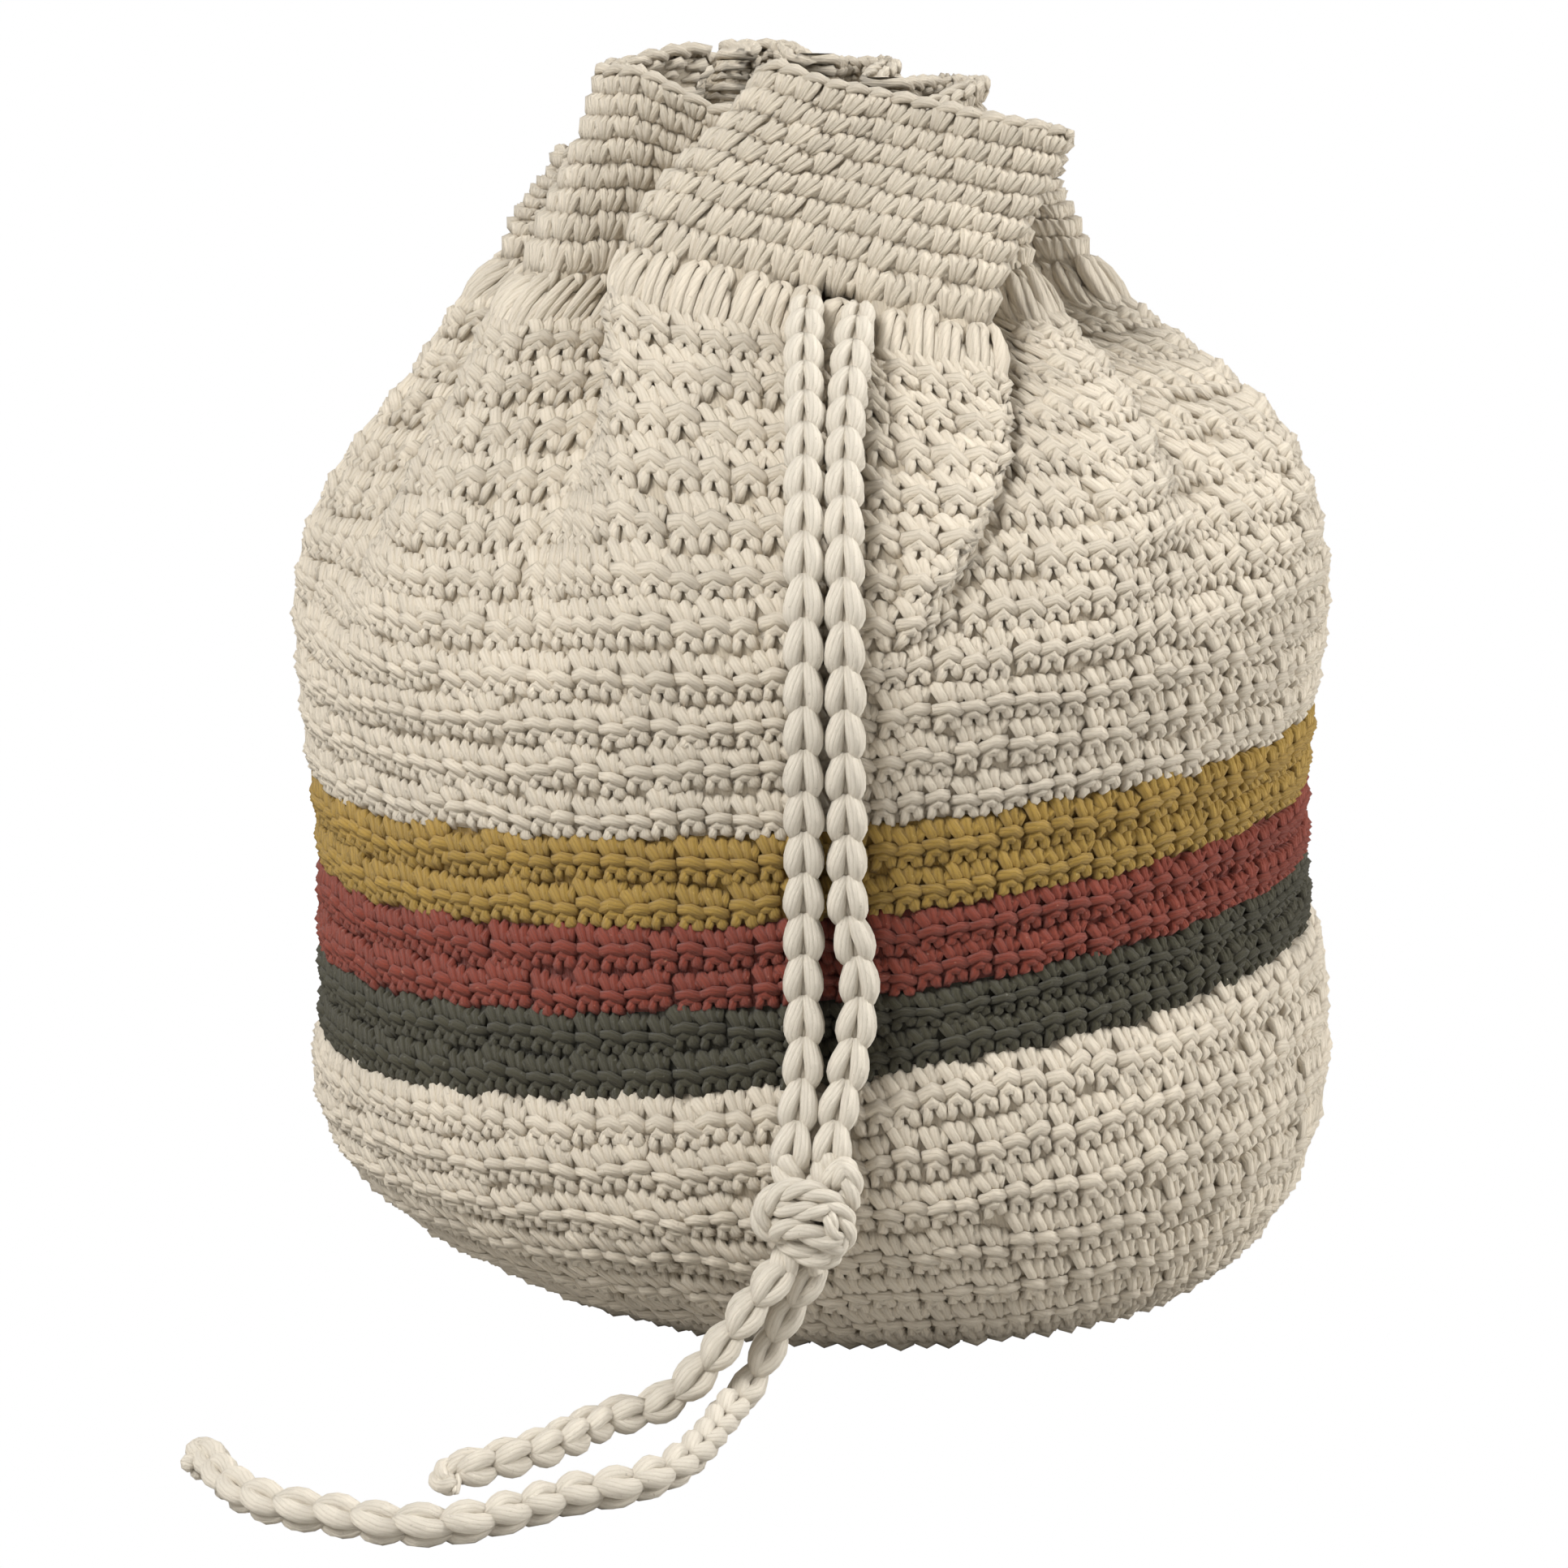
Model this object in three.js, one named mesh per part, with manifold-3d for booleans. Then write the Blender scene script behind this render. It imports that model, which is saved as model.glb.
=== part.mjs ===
// A crocheted bucket bag in cotton yarn, drawn shut at the neck by a crocheted cord.
// Millimetres, +Z up. The front, where the cord hangs, faces -Y, and +X is on its right.
// The bag is worked in rounds from the middle of its base up to the rim. A place on the
// cloth is (turn, round): turn runs once around from the front towards +X, and round counts
// the rounds of crochet up from the middle of the base.
import * as THREE from "three";
import { mergeVertices } from "three/addons/utils/BufferGeometryUtils.js";
import Module from "manifold-3d";

const wasm = await Module();
wasm.setup();

// Cloth and yarn
const WALL = 4.5;
const RIDGE = 1.3;
const BAND_GAP = 0.3;
const ROUND_HEIGHT = 10;

// Rounds where the yarn colour or the kind of stitch changes
const BASE_EDGE = 5.5;
const HEEL_RIDGES = 8;
const GREEN_FROM = 13;
const TERRACOTTA_FROM = 15;
const MUSTARD_FROM = 17;
const NATURAL_FROM = 19;
const FOLDS_FROM = 22;
const COLLAR_FROM = 31;
const RIM = 39;
const BELLY_RADIUS = 120.5;
const NECK_RADIUS = 64;
const NECK_MEAN_RADIUS = 56;
const FOLD_GROWTH = 0.55;

// The mesh: its widest panel between two columns, in turns, its smallest step between two
// rings, and the rounds at which its rings stand apart from the ridges
const WIDEST_PANEL = 0.036;
const SMALLEST_STEP = 0.2;
const HEEL_ROUNDS = [BASE_EDGE, 6.5, 7.5];
const LOWER_INNER_ROUNDS = [11.5, 10, 8.5, 7];
const UPPER_INNER_ROUNDS = [24, 26, 28, 30, 32, 35.5];

// The bag's profile: round, height, radius, sideways shift, rise of its right side
const PROFILE = [
  [0, 0, 0, 16, 0],
  [5.5, 0, 70, 16, 0],
  [6.5, 3.5, 84, 15, 0.3],
  [7.5, 12, 97, 12.5, 1.5],
  [9, 27, 111, 8, 5],
  [10.5, 44, 118.5, 4, 9],
  [12, 61.5, 120, 1.5, 12.5],
  [13, 73, 117.5, 0.5, 14],
  [15, 91, 116.5, 0, 12],
  [17, 109.5, 116.5, 0, 10],
  [19, 129.5, 118, 0, 8.8],
  [22, 160, 120.5, 0, 8],
  [24, 180, 116, 0, 7.5],
  [26, 199, 102.5, 0, 6],
  [28, 216, 82, -1, 3],
  [30, 232, 64, -3, 0],
  [31, 241, 57, -3, 0],
  [39, 281, 50, 0, 0],
];

// The gathered neck, from the front flap round by the right: each fold's place in degrees,
// how far out it stands, how wide it is, and the valley after it: place, distance from the
// middle, and the part of a turn by which that valley leans off its column lower down
const NECK_FOLDS = [
  { at: 2, out: 57, wide: 82, lift: 0, valleyAt: 50, valleyOut: 34, valleyLift: 0, lean: -0.075 },
  { at: 64, out: 58, wide: 15, lift: 0, valleyAt: 78, valleyOut: 34, valleyLift: 0, lean: -0.055 },
  { at: 93, out: 68, wide: 16, lift: 0, valleyAt: 110, valleyOut: 34, valleyLift: 0, lean: -0.03 },
  { at: 127, out: 66, wide: 16, lift: 0, valleyAt: 144, valleyOut: 34, valleyLift: 0, lean: 0 },
  { at: 161, out: 66, wide: 16, lift: 0, valleyAt: 180, valleyOut: 34, valleyLift: 0, lean: 0 },
  { at: 199, out: 66, wide: 16, lift: 0, valleyAt: 216, valleyOut: 34, valleyLift: 0, lean: 0 },
  { at: 233, out: 68, wide: 16, lift: 0, valleyAt: 249, valleyOut: 34, valleyLift: 0, lean: 0 },
  { at: 265, out: 70, wide: 16, lift: 0, valleyAt: 279, valleyOut: 36, valleyLift: 0, lean: 0 },
  { at: 294, out: 68, wide: 18, lift: 0, valleyAt: 313, valleyOut: 40, valleyLift: 0, lean: 0 },
];

// The same folds at the rim, with how far each stands above or below the rim's mean height
const RIM_FOLDS = [
  { at: 30, out: 50, wide: 72, lift: -1, valleyAt: 66, valleyOut: 34, valleyLift: -12 },
  { at: 76, out: 56, wide: 14, lift: -16, valleyAt: 90, valleyOut: 34, valleyLift: -14 },
  { at: 104, out: 62, wide: 14, lift: -14, valleyAt: 119, valleyOut: 33, valleyLift: -8 },
  { at: 133, out: 58, wide: 14, lift: -8, valleyAt: 148, valleyOut: 32, valleyLift: -4 },
  { at: 163, out: 52, wide: 15, lift: -2, valleyAt: 180, valleyOut: 32, valleyLift: 0 },
  { at: 196, out: 52, wide: 15, lift: 2, valleyAt: 213, valleyOut: 30, valleyLift: 0 },
  { at: 230, out: 56, wide: 15, lift: -4, valleyAt: 247, valleyOut: 30, valleyLift: 0 },
  { at: 266, out: 60, wide: 15, lift: -16, valleyAt: 289, valleyOut: 29, valleyLift: 8 },
  { at: 302, out: 55, wide: 17, lift: 5, valleyAt: 333, valleyOut: 38, valleyLift: -4 },
];
const FLAP_SLOPE = 0.22;
const FLAP_TURN = 0.05;
const FLAP_STEPS = [-0.5, -0.3, -0.03, 0.25, 0.5];
const FLAP_DROPS = [5, 0, 1.5, 0, 5];
const FOLD_STEPS = [-0.5, 0, 0.5];
const FOLD_DROP = 3.5;
const FRONT_CORNER = 2;
const OUTLINE_PIECES = 24;
const LEAN_PASSES = 6;
const COLLAR_EVEN_SHARE = 0.7;

// The crocheted drawstring
const CORD = 8;
const CORD_SIDES = 8;
const BORE = 8.8;
const KNOT_SIZE = [22, 17, 20];
const KNOT_AT = [-1.5, -131.5, 47];

// Routes of the cord, chosen along the neck, down the front and over the floor
const RING_ROUTE = [
  [-1, -49.4, 236.5], [-1.6, -45.5, 236.5], [-6, -41, 236.5], [-15, -38.5, 236.5], [-24, -35.5, 236.5],
  [-33, -29, 236.5], [-39.5, -18, 236.5], [-40.5, -6.8, 236.5], [-39, 3, 236.5],
  [-36, 12.5, 236.5], [-31, 21.5, 236.5], [-24, 28.7, 236.5], [-14, 34, 236.5],
  [-2.8, 35.5, 236.5], [8.5, 33.5, 236.5], [18, 28.5, 236.5], [25.5, 21, 236.5],
  [30.5, 11.5, 236.5], [32.5, 1.5, 236.5], [31.5, -8.2, 236.5], [28.5, -16, 236.5],
  [23.5, -23, 236], [17, -31, 235.5], [12, -38.5, 235.2], [10.7, -44.5, 235], [10.5, -49.4, 235],
];
const LEFT_RUN_ROUTE = [
  [-1, -50.2, 236.5], [-1.1, -60, 236.8], [-1.5, -68, 235], [-1.8, -76, 230.6],
  [-1.8, -93, 218.6], [-1.8, -108.2, 205], [-1.8, -118.4, 191], [-1.8, -124.2, 176],
  [-1.8, -126.3, 158], [-1.8, -125.6, 145], [-1.8, -124.3, 133], [-1.8, -122.7, 113],
  [-1.8, -122.5, 94], [-2, -124.6, 78], [-3.4, -127.6, 66], [-5.2, -129.8, 57.6],
];
const RIGHT_RUN_ROUTE = [
  [10.5, -50.2, 235], [10.4, -60, 235.2], [9.8, -68, 233.4], [9, -76, 229.2],
  [7.4, -93, 217.6], [6.8, -108, 204.6], [6.8, -118.2, 191], [6.8, -124, 176],
  [7, -126, 158], [7.2, -125.4, 145], [7.4, -124.2, 133], [7.8, -122.6, 113],
  [10.4, -122.4, 97], [8.4, -124.4, 81], [5.2, -127.2, 67], [3.6, -129.6, 57.6],
];
const SHORT_TAIL_ROUTE = [
  [-5.5, -134, 36.8], [-9, -134.5, 33], [-14, -134, 26.5], [-20, -133.5, 18],
  [-27, -133.5, 10], [-34, -135, 5.2], [-44.5, -141.5, 4.4], [-54, -156, 4.4],
  [-62.5, -165.5, 4.4], [-69, -171, 4.4], [-75, -176, 4.4],
];
const LONG_TAIL_ROUTE = [
  [1.2, -129, 35.4], [-2, -128.6, 30], [-6.5, -128, 22], [-10.5, -128, 13.5],
  [-14.5, -130, 7], [-19, -139, 4.6], [-23, -156, 4.4], [-29.5, -174, 4.4],
  [-39, -184.5, 4.4], [-50, -190.5, 4.4], [-62, -201, 4.4], [-73.5, -208.5, 4.4],
  [-86, -208.5, 4.4], [-98, -203, 4.4], [-110, -197.5, 4.4], [-118, -189.5, 4.4],
  [-124, -177.5, 4.4], [-127.5, -167, 4.4],
];
const RING_STEPS = 22;
const RUN_STEPS = 16;
const SHORT_TAIL_STEPS = 8;
const LONG_TAIL_STEPS = 12;
const KNOT_SIDES = 12;
const KNOT_RINGS = 7;

const TAU = 2 * Math.PI;
const DEGREE = Math.PI / 180;
const NUDGE = 1e-4;
const MERGE_GAP = 1e-4;

// The yarns
const NATURAL = { color: 0xe9e1d0, roughness: 0.95, metalness: 0 };
const MUSTARD = { color: 0xc09d48, roughness: 0.95, metalness: 0 };
const TERRACOTTA = { color: 0xaf503e, roughness: 0.95, metalness: 0 };
const GREY_GREEN = { color: 0x585c52, roughness: 0.95, metalness: 0 };

function clamp(value, low, high) {
  return Math.min(Math.max(value, low), high);
}

// A value between two others
function mix(from, to, share) {
  return from + (to - from) * share;
}

// Slopes of a smooth curve through points that rises and falls only where they do
function gentleSlopes(places, values) {
  const last = places.length - 1;
  const steps = [];
  for (let i = 0; i < last; i += 1) {
    steps.push((values[i + 1] - values[i]) / (places[i + 1] - places[i]));
  }
  const slopes = [steps[0]];
  for (let i = 1; i < last; i += 1) {
    const before = places[i] - places[i - 1];
    const after = places[i + 1] - places[i];
    const turns = steps[i - 1] * steps[i] <= 0;
    const a = 2 * after + before;
    const b = after + 2 * before;
    slopes.push(turns ? 0 : (a + b) / (a / steps[i - 1] + b / steps[i]));
  }
  slopes.push(steps[last - 1]);
  return slopes;
}

// A function that reads one column of the profile at any round
function profileColumn(column) {
  const places = PROFILE.map((row) => row[0]);
  const values = PROFILE.map((row) => row[column]);
  const slopes = gentleSlopes(places, values);
  return (round) => {
    let i = 0;
    while (i < places.length - 2 && round > places[i + 1]) {
      i += 1;
    }
    const span = places[i + 1] - places[i];
    const t = (round - places[i]) / span;
    const rest = 1 - t;
    const start = (1 + 2 * t) * rest * rest * values[i];
    const end = t * t * (3 - 2 * t) * values[i + 1];
    return start + end + span * (t * rest * rest * slopes[i] - t * t * rest * slopes[i + 1]);
  };
}

const heightAt = profileColumn(1);
const radiusAt = profileColumn(2);
const shiftAt = profileColumn(3);
const riseAt = profileColumn(4);

// The way out from the middle at an angle counted from the front towards +X
function outward(angle) {
  return new THREE.Vector2(Math.sin(angle), -Math.cos(angle));
}

// The corner points of a gathered outline, with the height offset as z
function foldPoints(folds) {
  const points = [];
  folds.forEach((fold, index) => {
    const out = outward(fold.at * DEGREE);
    const isFlap = index === 0;
    const along = isFlap ? new THREE.Vector2(1, FLAP_TURN) : new THREE.Vector2(-out.y, out.x);
    const inward = isFlap ? new THREE.Vector2(0, 1) : out.clone().negate();
    const steps = isFlap ? FLAP_STEPS : FOLD_STEPS;
    steps.forEach((step, corner) => {
      const drop = isFlap ? FLAP_DROPS[corner] : FOLD_DROP * Math.abs(Math.sign(step));
      const place = out.clone().multiplyScalar(fold.out);
      place.addScaledVector(along, fold.wide * step).addScaledVector(inward, drop);
      const slope = isFlap ? FLAP_SLOPE * fold.wide * step : 0;
      points.push(new THREE.Vector3(place.x, place.y, fold.lift - slope));
    });
    const valley = outward(fold.valleyAt * DEGREE).multiplyScalar(fold.valleyOut);
    points.push(new THREE.Vector3(valley.x, valley.y, fold.valleyLift));
  });
  return points;
}

// A closed smooth outline through points, read by the share of its length in plan
function foldedOutline(points) {
  const count = points.length;
  const samples = [];
  for (let k = 0; k <= count * OUTLINE_PIECES; k += 1) {
    const i = Math.floor(k / OUTLINE_PIECES) % count;
    const t = (k % OUTLINE_PIECES) / OUTLINE_PIECES;
    const corners = [-1, 0, 1, 2].map((step) => points[(i + step + FRONT_CORNER + count) % count]);
    samples.push(smoothBetween(corners, t));
  }
  const lengths = [0];
  for (let k = 1; k < samples.length; k += 1) {
    const dx = samples[k].x - samples[k - 1].x;
    const dy = samples[k].y - samples[k - 1].y;
    lengths.push(lengths[k - 1] + Math.hypot(dx, dy));
  }
  const whole = lengths[lengths.length - 1];
  const cornerTurns = [];
  for (let i = 0; i < count; i += 1) {
    cornerTurns.push(lengths[i * OUTLINE_PIECES] / whole);
  }
  const at = (turn) => {
    const place = (turn - Math.floor(turn)) * whole;
    let low = 0;
    let high = lengths.length - 1;
    while (high - low > 1) {
      const middle = (low + high) >> 1;
      if (lengths[middle] <= place) {
        low = middle;
      } else {
        high = middle;
      }
    }
    const share = (place - lengths[low]) / (lengths[high] - lengths[low]);
    return samples[low].clone().lerp(samples[high], share);
  };
  return { at, cornerTurns };
}

// A point between the middle two of four corners, with roots of their distances as steps
function smoothBetween([before, from, to, after], t) {
  const first = Math.sqrt(from.distanceTo(before));
  const second = Math.sqrt(to.distanceTo(from));
  const third = Math.sqrt(after.distanceTo(to));
  const tangent = (a, b, c, stepIn, stepOut) => {
    const line = b.clone().sub(a).divideScalar(stepIn);
    line.sub(c.clone().sub(a).divideScalar(stepIn + stepOut));
    return line.add(c.clone().sub(b).divideScalar(stepOut)).multiplyScalar(second);
  };
  const leave = tangent(before, from, to, first, second);
  const arrive = tangent(from, to, after, second, third);
  const square = t * t;
  const cube = square * t;
  return from.clone().multiplyScalar(2 * cube - 3 * square + 1)
    .addScaledVector(leave, cube - 2 * square + t)
    .addScaledVector(to, 3 * square - 2 * cube)
    .addScaledVector(arrive, cube - square);
}

const neckOutline = foldedOutline(foldPoints(NECK_FOLDS));
const rimOutline = foldedOutline(foldPoints(RIM_FOLDS));

// Turns at which the valleys of the neck lie, and how far each leans, from the front round
// to the back by the right; the left side's folds run straight down
const FLAP_CORNERS = FLAP_STEPS.length + 1;
const FOLD_CORNERS = FOLD_STEPS.length + 1;
const leanTurns = [-0.5, 0];
const leanShares = [0, 0];
NECK_FOLDS.forEach((fold, index) => {
  const corner = FLAP_CORNERS - 1 - FRONT_CORNER + index * FOLD_CORNERS;
  const turn = neckOutline.cornerTurns[corner];
  if (turn < 0.5) {
    leanTurns.push(turn);
    leanShares.push(fold.lean);
  }
});
leanTurns.push(0.5);
leanShares.push(0);

function leanAt(turn) {
  let i = 0;
  while (i < leanTurns.length - 2 && turn > leanTurns[i + 1]) {
    i += 1;
  }
  const share = (turn - leanTurns[i]) / (leanTurns[i + 1] - leanTurns[i]);
  return mix(leanShares[i], leanShares[i + 1], clamp(share, 0, 1));
}

// The outer side of the cloth without its ridges
function clothPoint(turn, round) {
  const out = outward(TAU * turn);
  const neck = neckOutline.at(turn);
  if (round > COLLAR_FROM) {
    const rim = rimOutline.at(turn);
    const climb = (round - COLLAR_FROM) / (RIM - COLLAR_FROM);
    const eased = climb * climb * (3 - 2 * climb);
    const share = mix(eased, climb, COLLAR_EVEN_SHARE);
    const x = mix(neck.x + shiftAt(COLLAR_FROM), rim.x, share);
    const z = heightAt(round) + mix(neck.z, rim.z, share);
    return new THREE.Vector3(x, mix(neck.y, rim.y, share), z);
  }
  const radius = radiusAt(round);
  const drawn = clamp((BELLY_RADIUS - radius) / (BELLY_RADIUS - NECK_RADIUS), 0, 1);
  const depth = round > FOLDS_FROM ? drawn ** FOLD_GROWTH : 0;
  const around = turn - Math.round(turn);
  let source = around;
  for (let pass = 0; pass < LEAN_PASSES; pass += 1) {
    source = around - leanAt(source) * (1 - depth);
  }
  const fold = neckOutline.at(source);
  const sourceOut = outward(TAU * source);
  const offX = fold.x - sourceOut.x * NECK_MEAN_RADIUS;
  const offY = fold.y - sourceOut.y * NECK_MEAN_RADIUS;
  const outBy = offX * sourceOut.x + offY * sourceOut.y;
  const alongBy = offY * sourceOut.x - offX * sourceOut.y;
  const x = shiftAt(round) + out.x * radius + depth * (outBy * out.x - alongBy * out.y);
  const y = out.y * radius + depth * (outBy * out.y + alongBy * out.x);
  return new THREE.Vector3(x, y, heightAt(round) + riseAt(round) * out.x + depth * fold.z);
}

// The way out of the cloth
function clothNormal(turn, round) {
  const low = Math.max(round - NUDGE, NUDGE);
  const high = Math.min(round + NUDGE, RIM);
  const across = clothPoint(turn + NUDGE, round).sub(clothPoint(turn - NUDGE, round));
  const up = clothPoint(turn, high).sub(clothPoint(turn, low));
  return across.cross(up).normalize();
}

// How far a round of stitches stands out of the cloth
function ridgeAt(round) {
  if (round < HEEL_RIDGES) {
    return 0;
  }
  return RIDGE * Math.sin(Math.PI * (round - Math.floor(round))) ** 2;
}

// The turns at which the columns of the mesh stand: the folds' corners and their walls' middles
const columns = [];
neckOutline.cornerTurns.forEach((turn, corner, turns) => {
  const next = corner + 1 < turns.length ? turns[corner + 1] : 1;
  columns.push(turn);
  if (next - turn > WIDEST_PANEL) {
    columns.push((turn + next) / 2);
  }
});

// A ring of points at one round, pushed out of the cloth by a distance
function clothRing(round, distance) {
  return columns.map((turn) => clothPoint(turn, round).addScaledVector(clothNormal(turn, round), distance));
}

// The closed mesh of rings joined in order; a single point closes an end, and with none the
// last ring joins the first
function ringMesh(rings) {
  const positions = [];
  const starts = rings.map((ring) => {
    const start = positions.length / 3;
    ring.forEach((point) => positions.push(point.x, point.y, point.z));
    return start;
  });
  const indices = [];
  const joinRings = (a, b) => {
    const count = Math.max(rings[a].length, rings[b].length);
    for (let i = 0; i < count; i += 1) {
      const next = (i + 1) % count;
      if (rings[a].length === 1) {
        indices.push(starts[a], starts[b] + next, starts[b] + i);
      } else if (rings[b].length === 1) {
        indices.push(starts[a] + i, starts[a] + next, starts[b]);
      } else {
        indices.push(starts[a] + i, starts[a] + next, starts[b] + next);
        indices.push(starts[a] + i, starts[b] + next, starts[b] + i);
      }
    }
  };
  for (let i = 0; i + 1 < rings.length; i += 1) {
    joinRings(i, i + 1);
  }
  if (rings[0].length > 1) {
    joinRings(rings.length - 1, 0);
  }
  const geometry = new THREE.BufferGeometry();
  geometry.setAttribute("position", new THREE.Float32BufferAttribute(positions, 3));
  geometry.setIndex(indices);
  return geometry;
}

// The rounds at which the outer rings stand, a groove and a crest for each ridge
function outerRounds(from, to) {
  const rounds = [from];
  for (let round = Math.ceil(from * 2 + 0.5) / 2; round < to - SMALLEST_STEP; round += 0.5) {
    rounds.push(round);
  }
  rounds.push(to);
  return rounds;
}

// A stretch of the wall between two rounds, its inner rings at the rounds given
function wallStretch(from, to, innerRounds) {
  const outer = outerRounds(from, to).map((round) => clothRing(round, ridgeAt(round)));
  const inner = innerRounds.map((round) => clothRing(round, -WALL));
  return ringMesh([...outer, ...inner.reverse()]);
}

// The base and the heel up to the first stripe, closed at the middle of the base
function lowerBag() {
  const middle = shiftAt(0);
  const bottom = [new THREE.Vector3(middle, 0, 0)];
  const floor = [new THREE.Vector3(middle, 0, WALL)];
  const top = GREEN_FROM - BAND_GAP / (2 * ROUND_HEIGHT);
  const outerRings = HEEL_ROUNDS.map((round) => clothRing(round, 0));
  const ridged = outerRounds(HEEL_RIDGES, top).map((round) => clothRing(round, ridgeAt(round)));
  const inner = [top, ...LOWER_INNER_ROUNDS].map((round) => clothRing(round, -WALL));
  const innerEdge = clothRing(BASE_EDGE, -WALL);
  return ringMesh([bottom, ...outerRings, ...ridged, ...inner, innerEdge, floor]);
}

// A stripe of coloured yarn between two rounds
function stripe(from, to) {
  const half = BAND_GAP / (2 * ROUND_HEIGHT);
  return wallStretch(from + half, to - half, [from + half, (from + to) / 2, to - half]);
}

// A tube along a route, an octagon swept by even steps
function cordTube(route, steps, diameter) {
  const curve = new THREE.CatmullRomCurve3(route.map((point) => new THREE.Vector3(...point)));
  const section = new THREE.Shape();
  for (let side = 0; side < CORD_SIDES; side += 1) {
    const angle = TAU * (side + 0.5) / CORD_SIDES;
    const x = Math.cos(angle) * diameter / 2;
    const y = Math.sin(angle) * diameter / 2;
    if (side === 0) {
      section.moveTo(x, y);
    } else {
      section.lineTo(x, y);
    }
  }
  section.closePath();
  return new THREE.ExtrudeGeometry(section, { steps, extrudePath: curve, bevelEnabled: false });
}

// A mesh as a solid that can be cut
function toSolid(geometry) {
  const bare = geometry.clone();
  bare.deleteAttribute("normal");
  bare.deleteAttribute("uv");
  const merged = mergeVertices(bare, MERGE_GAP);
  const vertProperties = new Float32Array(merged.attributes.position.array);
  const triVerts = new Uint32Array(merged.index.array);
  return new wasm.Manifold(new wasm.Mesh({ numProp: 3, vertProperties, triVerts }));
}

// A cut solid as a mesh again
function toGeometry(solid) {
  const mesh = solid.getMesh();
  const geometry = new THREE.BufferGeometry();
  geometry.setAttribute("position", new THREE.Float32BufferAttribute(mesh.vertProperties, 3));
  geometry.setIndex(Array.from(mesh.triVerts));
  return geometry;
}

// The upper wall with its collar, pierced where the drawstring goes through it
function upperWall() {
  const from = NATURAL_FROM + BAND_GAP / (2 * ROUND_HEIGHT);
  const innerRounds = [from, ...UPPER_INNER_ROUNDS, RIM];
  let solid = toSolid(wallStretch(from, RIM, innerRounds));
  const cuts = [
    cordTube(RING_ROUTE, RING_STEPS, BORE),
    cordTube(LEFT_RUN_ROUTE, RUN_STEPS, BORE),
    cordTube(RIGHT_RUN_ROUTE, RUN_STEPS, BORE),
  ];
  cuts.forEach((cut) => {
    solid = solid.subtract(toSolid(cut));
  });
  return toGeometry(solid);
}

// The knot that ties both strands, a rounded lump
function knot() {
  const geometry = new THREE.SphereGeometry(0.5, KNOT_SIDES, KNOT_RINGS);
  geometry.rotateX(Math.PI / 2);
  geometry.scale(...KNOT_SIZE);
  return geometry;
}

const bag = new THREE.Group();

function addPiece(name, geometry, yarn, position = [0, 0, 0]) {
  const mesh = new THREE.Mesh(geometry, new THREE.MeshStandardMaterial(yarn));
  mesh.name = name;
  mesh.position.set(...position);
  bag.add(mesh);
}

addPiece("lower_bag", lowerBag(), NATURAL);
addPiece("grey_green_band", stripe(GREEN_FROM, TERRACOTTA_FROM), GREY_GREEN);
addPiece("terracotta_band", stripe(TERRACOTTA_FROM, MUSTARD_FROM), TERRACOTTA);
addPiece("mustard_band", stripe(MUSTARD_FROM, NATURAL_FROM), MUSTARD);
addPiece("upper_wall", upperWall(), NATURAL);
addPiece("drawstring_ring", cordTube(RING_ROUTE, RING_STEPS, CORD), NATURAL);
addPiece("drawstring_left_run", cordTube(LEFT_RUN_ROUTE, RUN_STEPS, CORD), NATURAL);
addPiece("drawstring_right_run", cordTube(RIGHT_RUN_ROUTE, RUN_STEPS, CORD), NATURAL);
addPiece("drawstring_knot", knot(), NATURAL, KNOT_AT);
addPiece("short_tail", cordTube(SHORT_TAIL_ROUTE, SHORT_TAIL_STEPS, CORD), NATURAL);
addPiece("long_tail", cordTube(LONG_TAIL_ROUTE, LONG_TAIL_STEPS, CORD), NATURAL);

export default bag;
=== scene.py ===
"""A crocheted cotton bucket bag whose neck is gathered by a knotted crocheted cord."""
import logging
import math
from dataclasses import dataclass, field
from enum import Enum
from typing import Sequence

import bmesh
import bpy
import numpy as np
from bpy.types import ID, Material, Mesh, Node, NodeOutputs, NodeSocket, NodeTree, Object
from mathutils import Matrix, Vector


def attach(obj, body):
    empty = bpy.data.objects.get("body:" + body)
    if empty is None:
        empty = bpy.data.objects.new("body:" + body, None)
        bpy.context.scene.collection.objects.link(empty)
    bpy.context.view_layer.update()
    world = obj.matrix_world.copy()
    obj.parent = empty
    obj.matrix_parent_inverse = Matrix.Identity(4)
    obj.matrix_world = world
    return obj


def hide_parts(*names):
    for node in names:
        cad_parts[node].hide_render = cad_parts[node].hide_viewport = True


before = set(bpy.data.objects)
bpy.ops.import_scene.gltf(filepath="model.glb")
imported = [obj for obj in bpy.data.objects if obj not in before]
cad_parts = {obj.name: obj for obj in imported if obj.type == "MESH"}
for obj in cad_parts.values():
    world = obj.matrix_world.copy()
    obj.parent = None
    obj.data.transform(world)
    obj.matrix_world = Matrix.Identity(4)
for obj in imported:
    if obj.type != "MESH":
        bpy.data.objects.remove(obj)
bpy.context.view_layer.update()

LOG = logging.getLogger("crocheted_bag")
BODY = "root"
MM = 0.001
TINY = 1e-9
TAU = 2.0 * math.pi

Array = np.ndarray
Point = tuple[float, float, float]
Route = Sequence[Point]

# Rounds of crochet, counted up from the middle of the base
BASE_EDGE = 5.5
HEEL_TOP = 9
GREEN_FROM = 13
TERRACOTTA_FROM = 15
MUSTARD_FROM = 17
NATURAL_FROM = 19
STRIPE_ROUNDS = 2
FOLDS_FROM = 22.0
BELLY_TOP = 23
SHOULDER_TOP = 27
EYELET_ROUND = 30
COLLAR_FROM = 31
EYELET_TOP = 31.3
INSIDE_FROM = 34
RIM = 39

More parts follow.
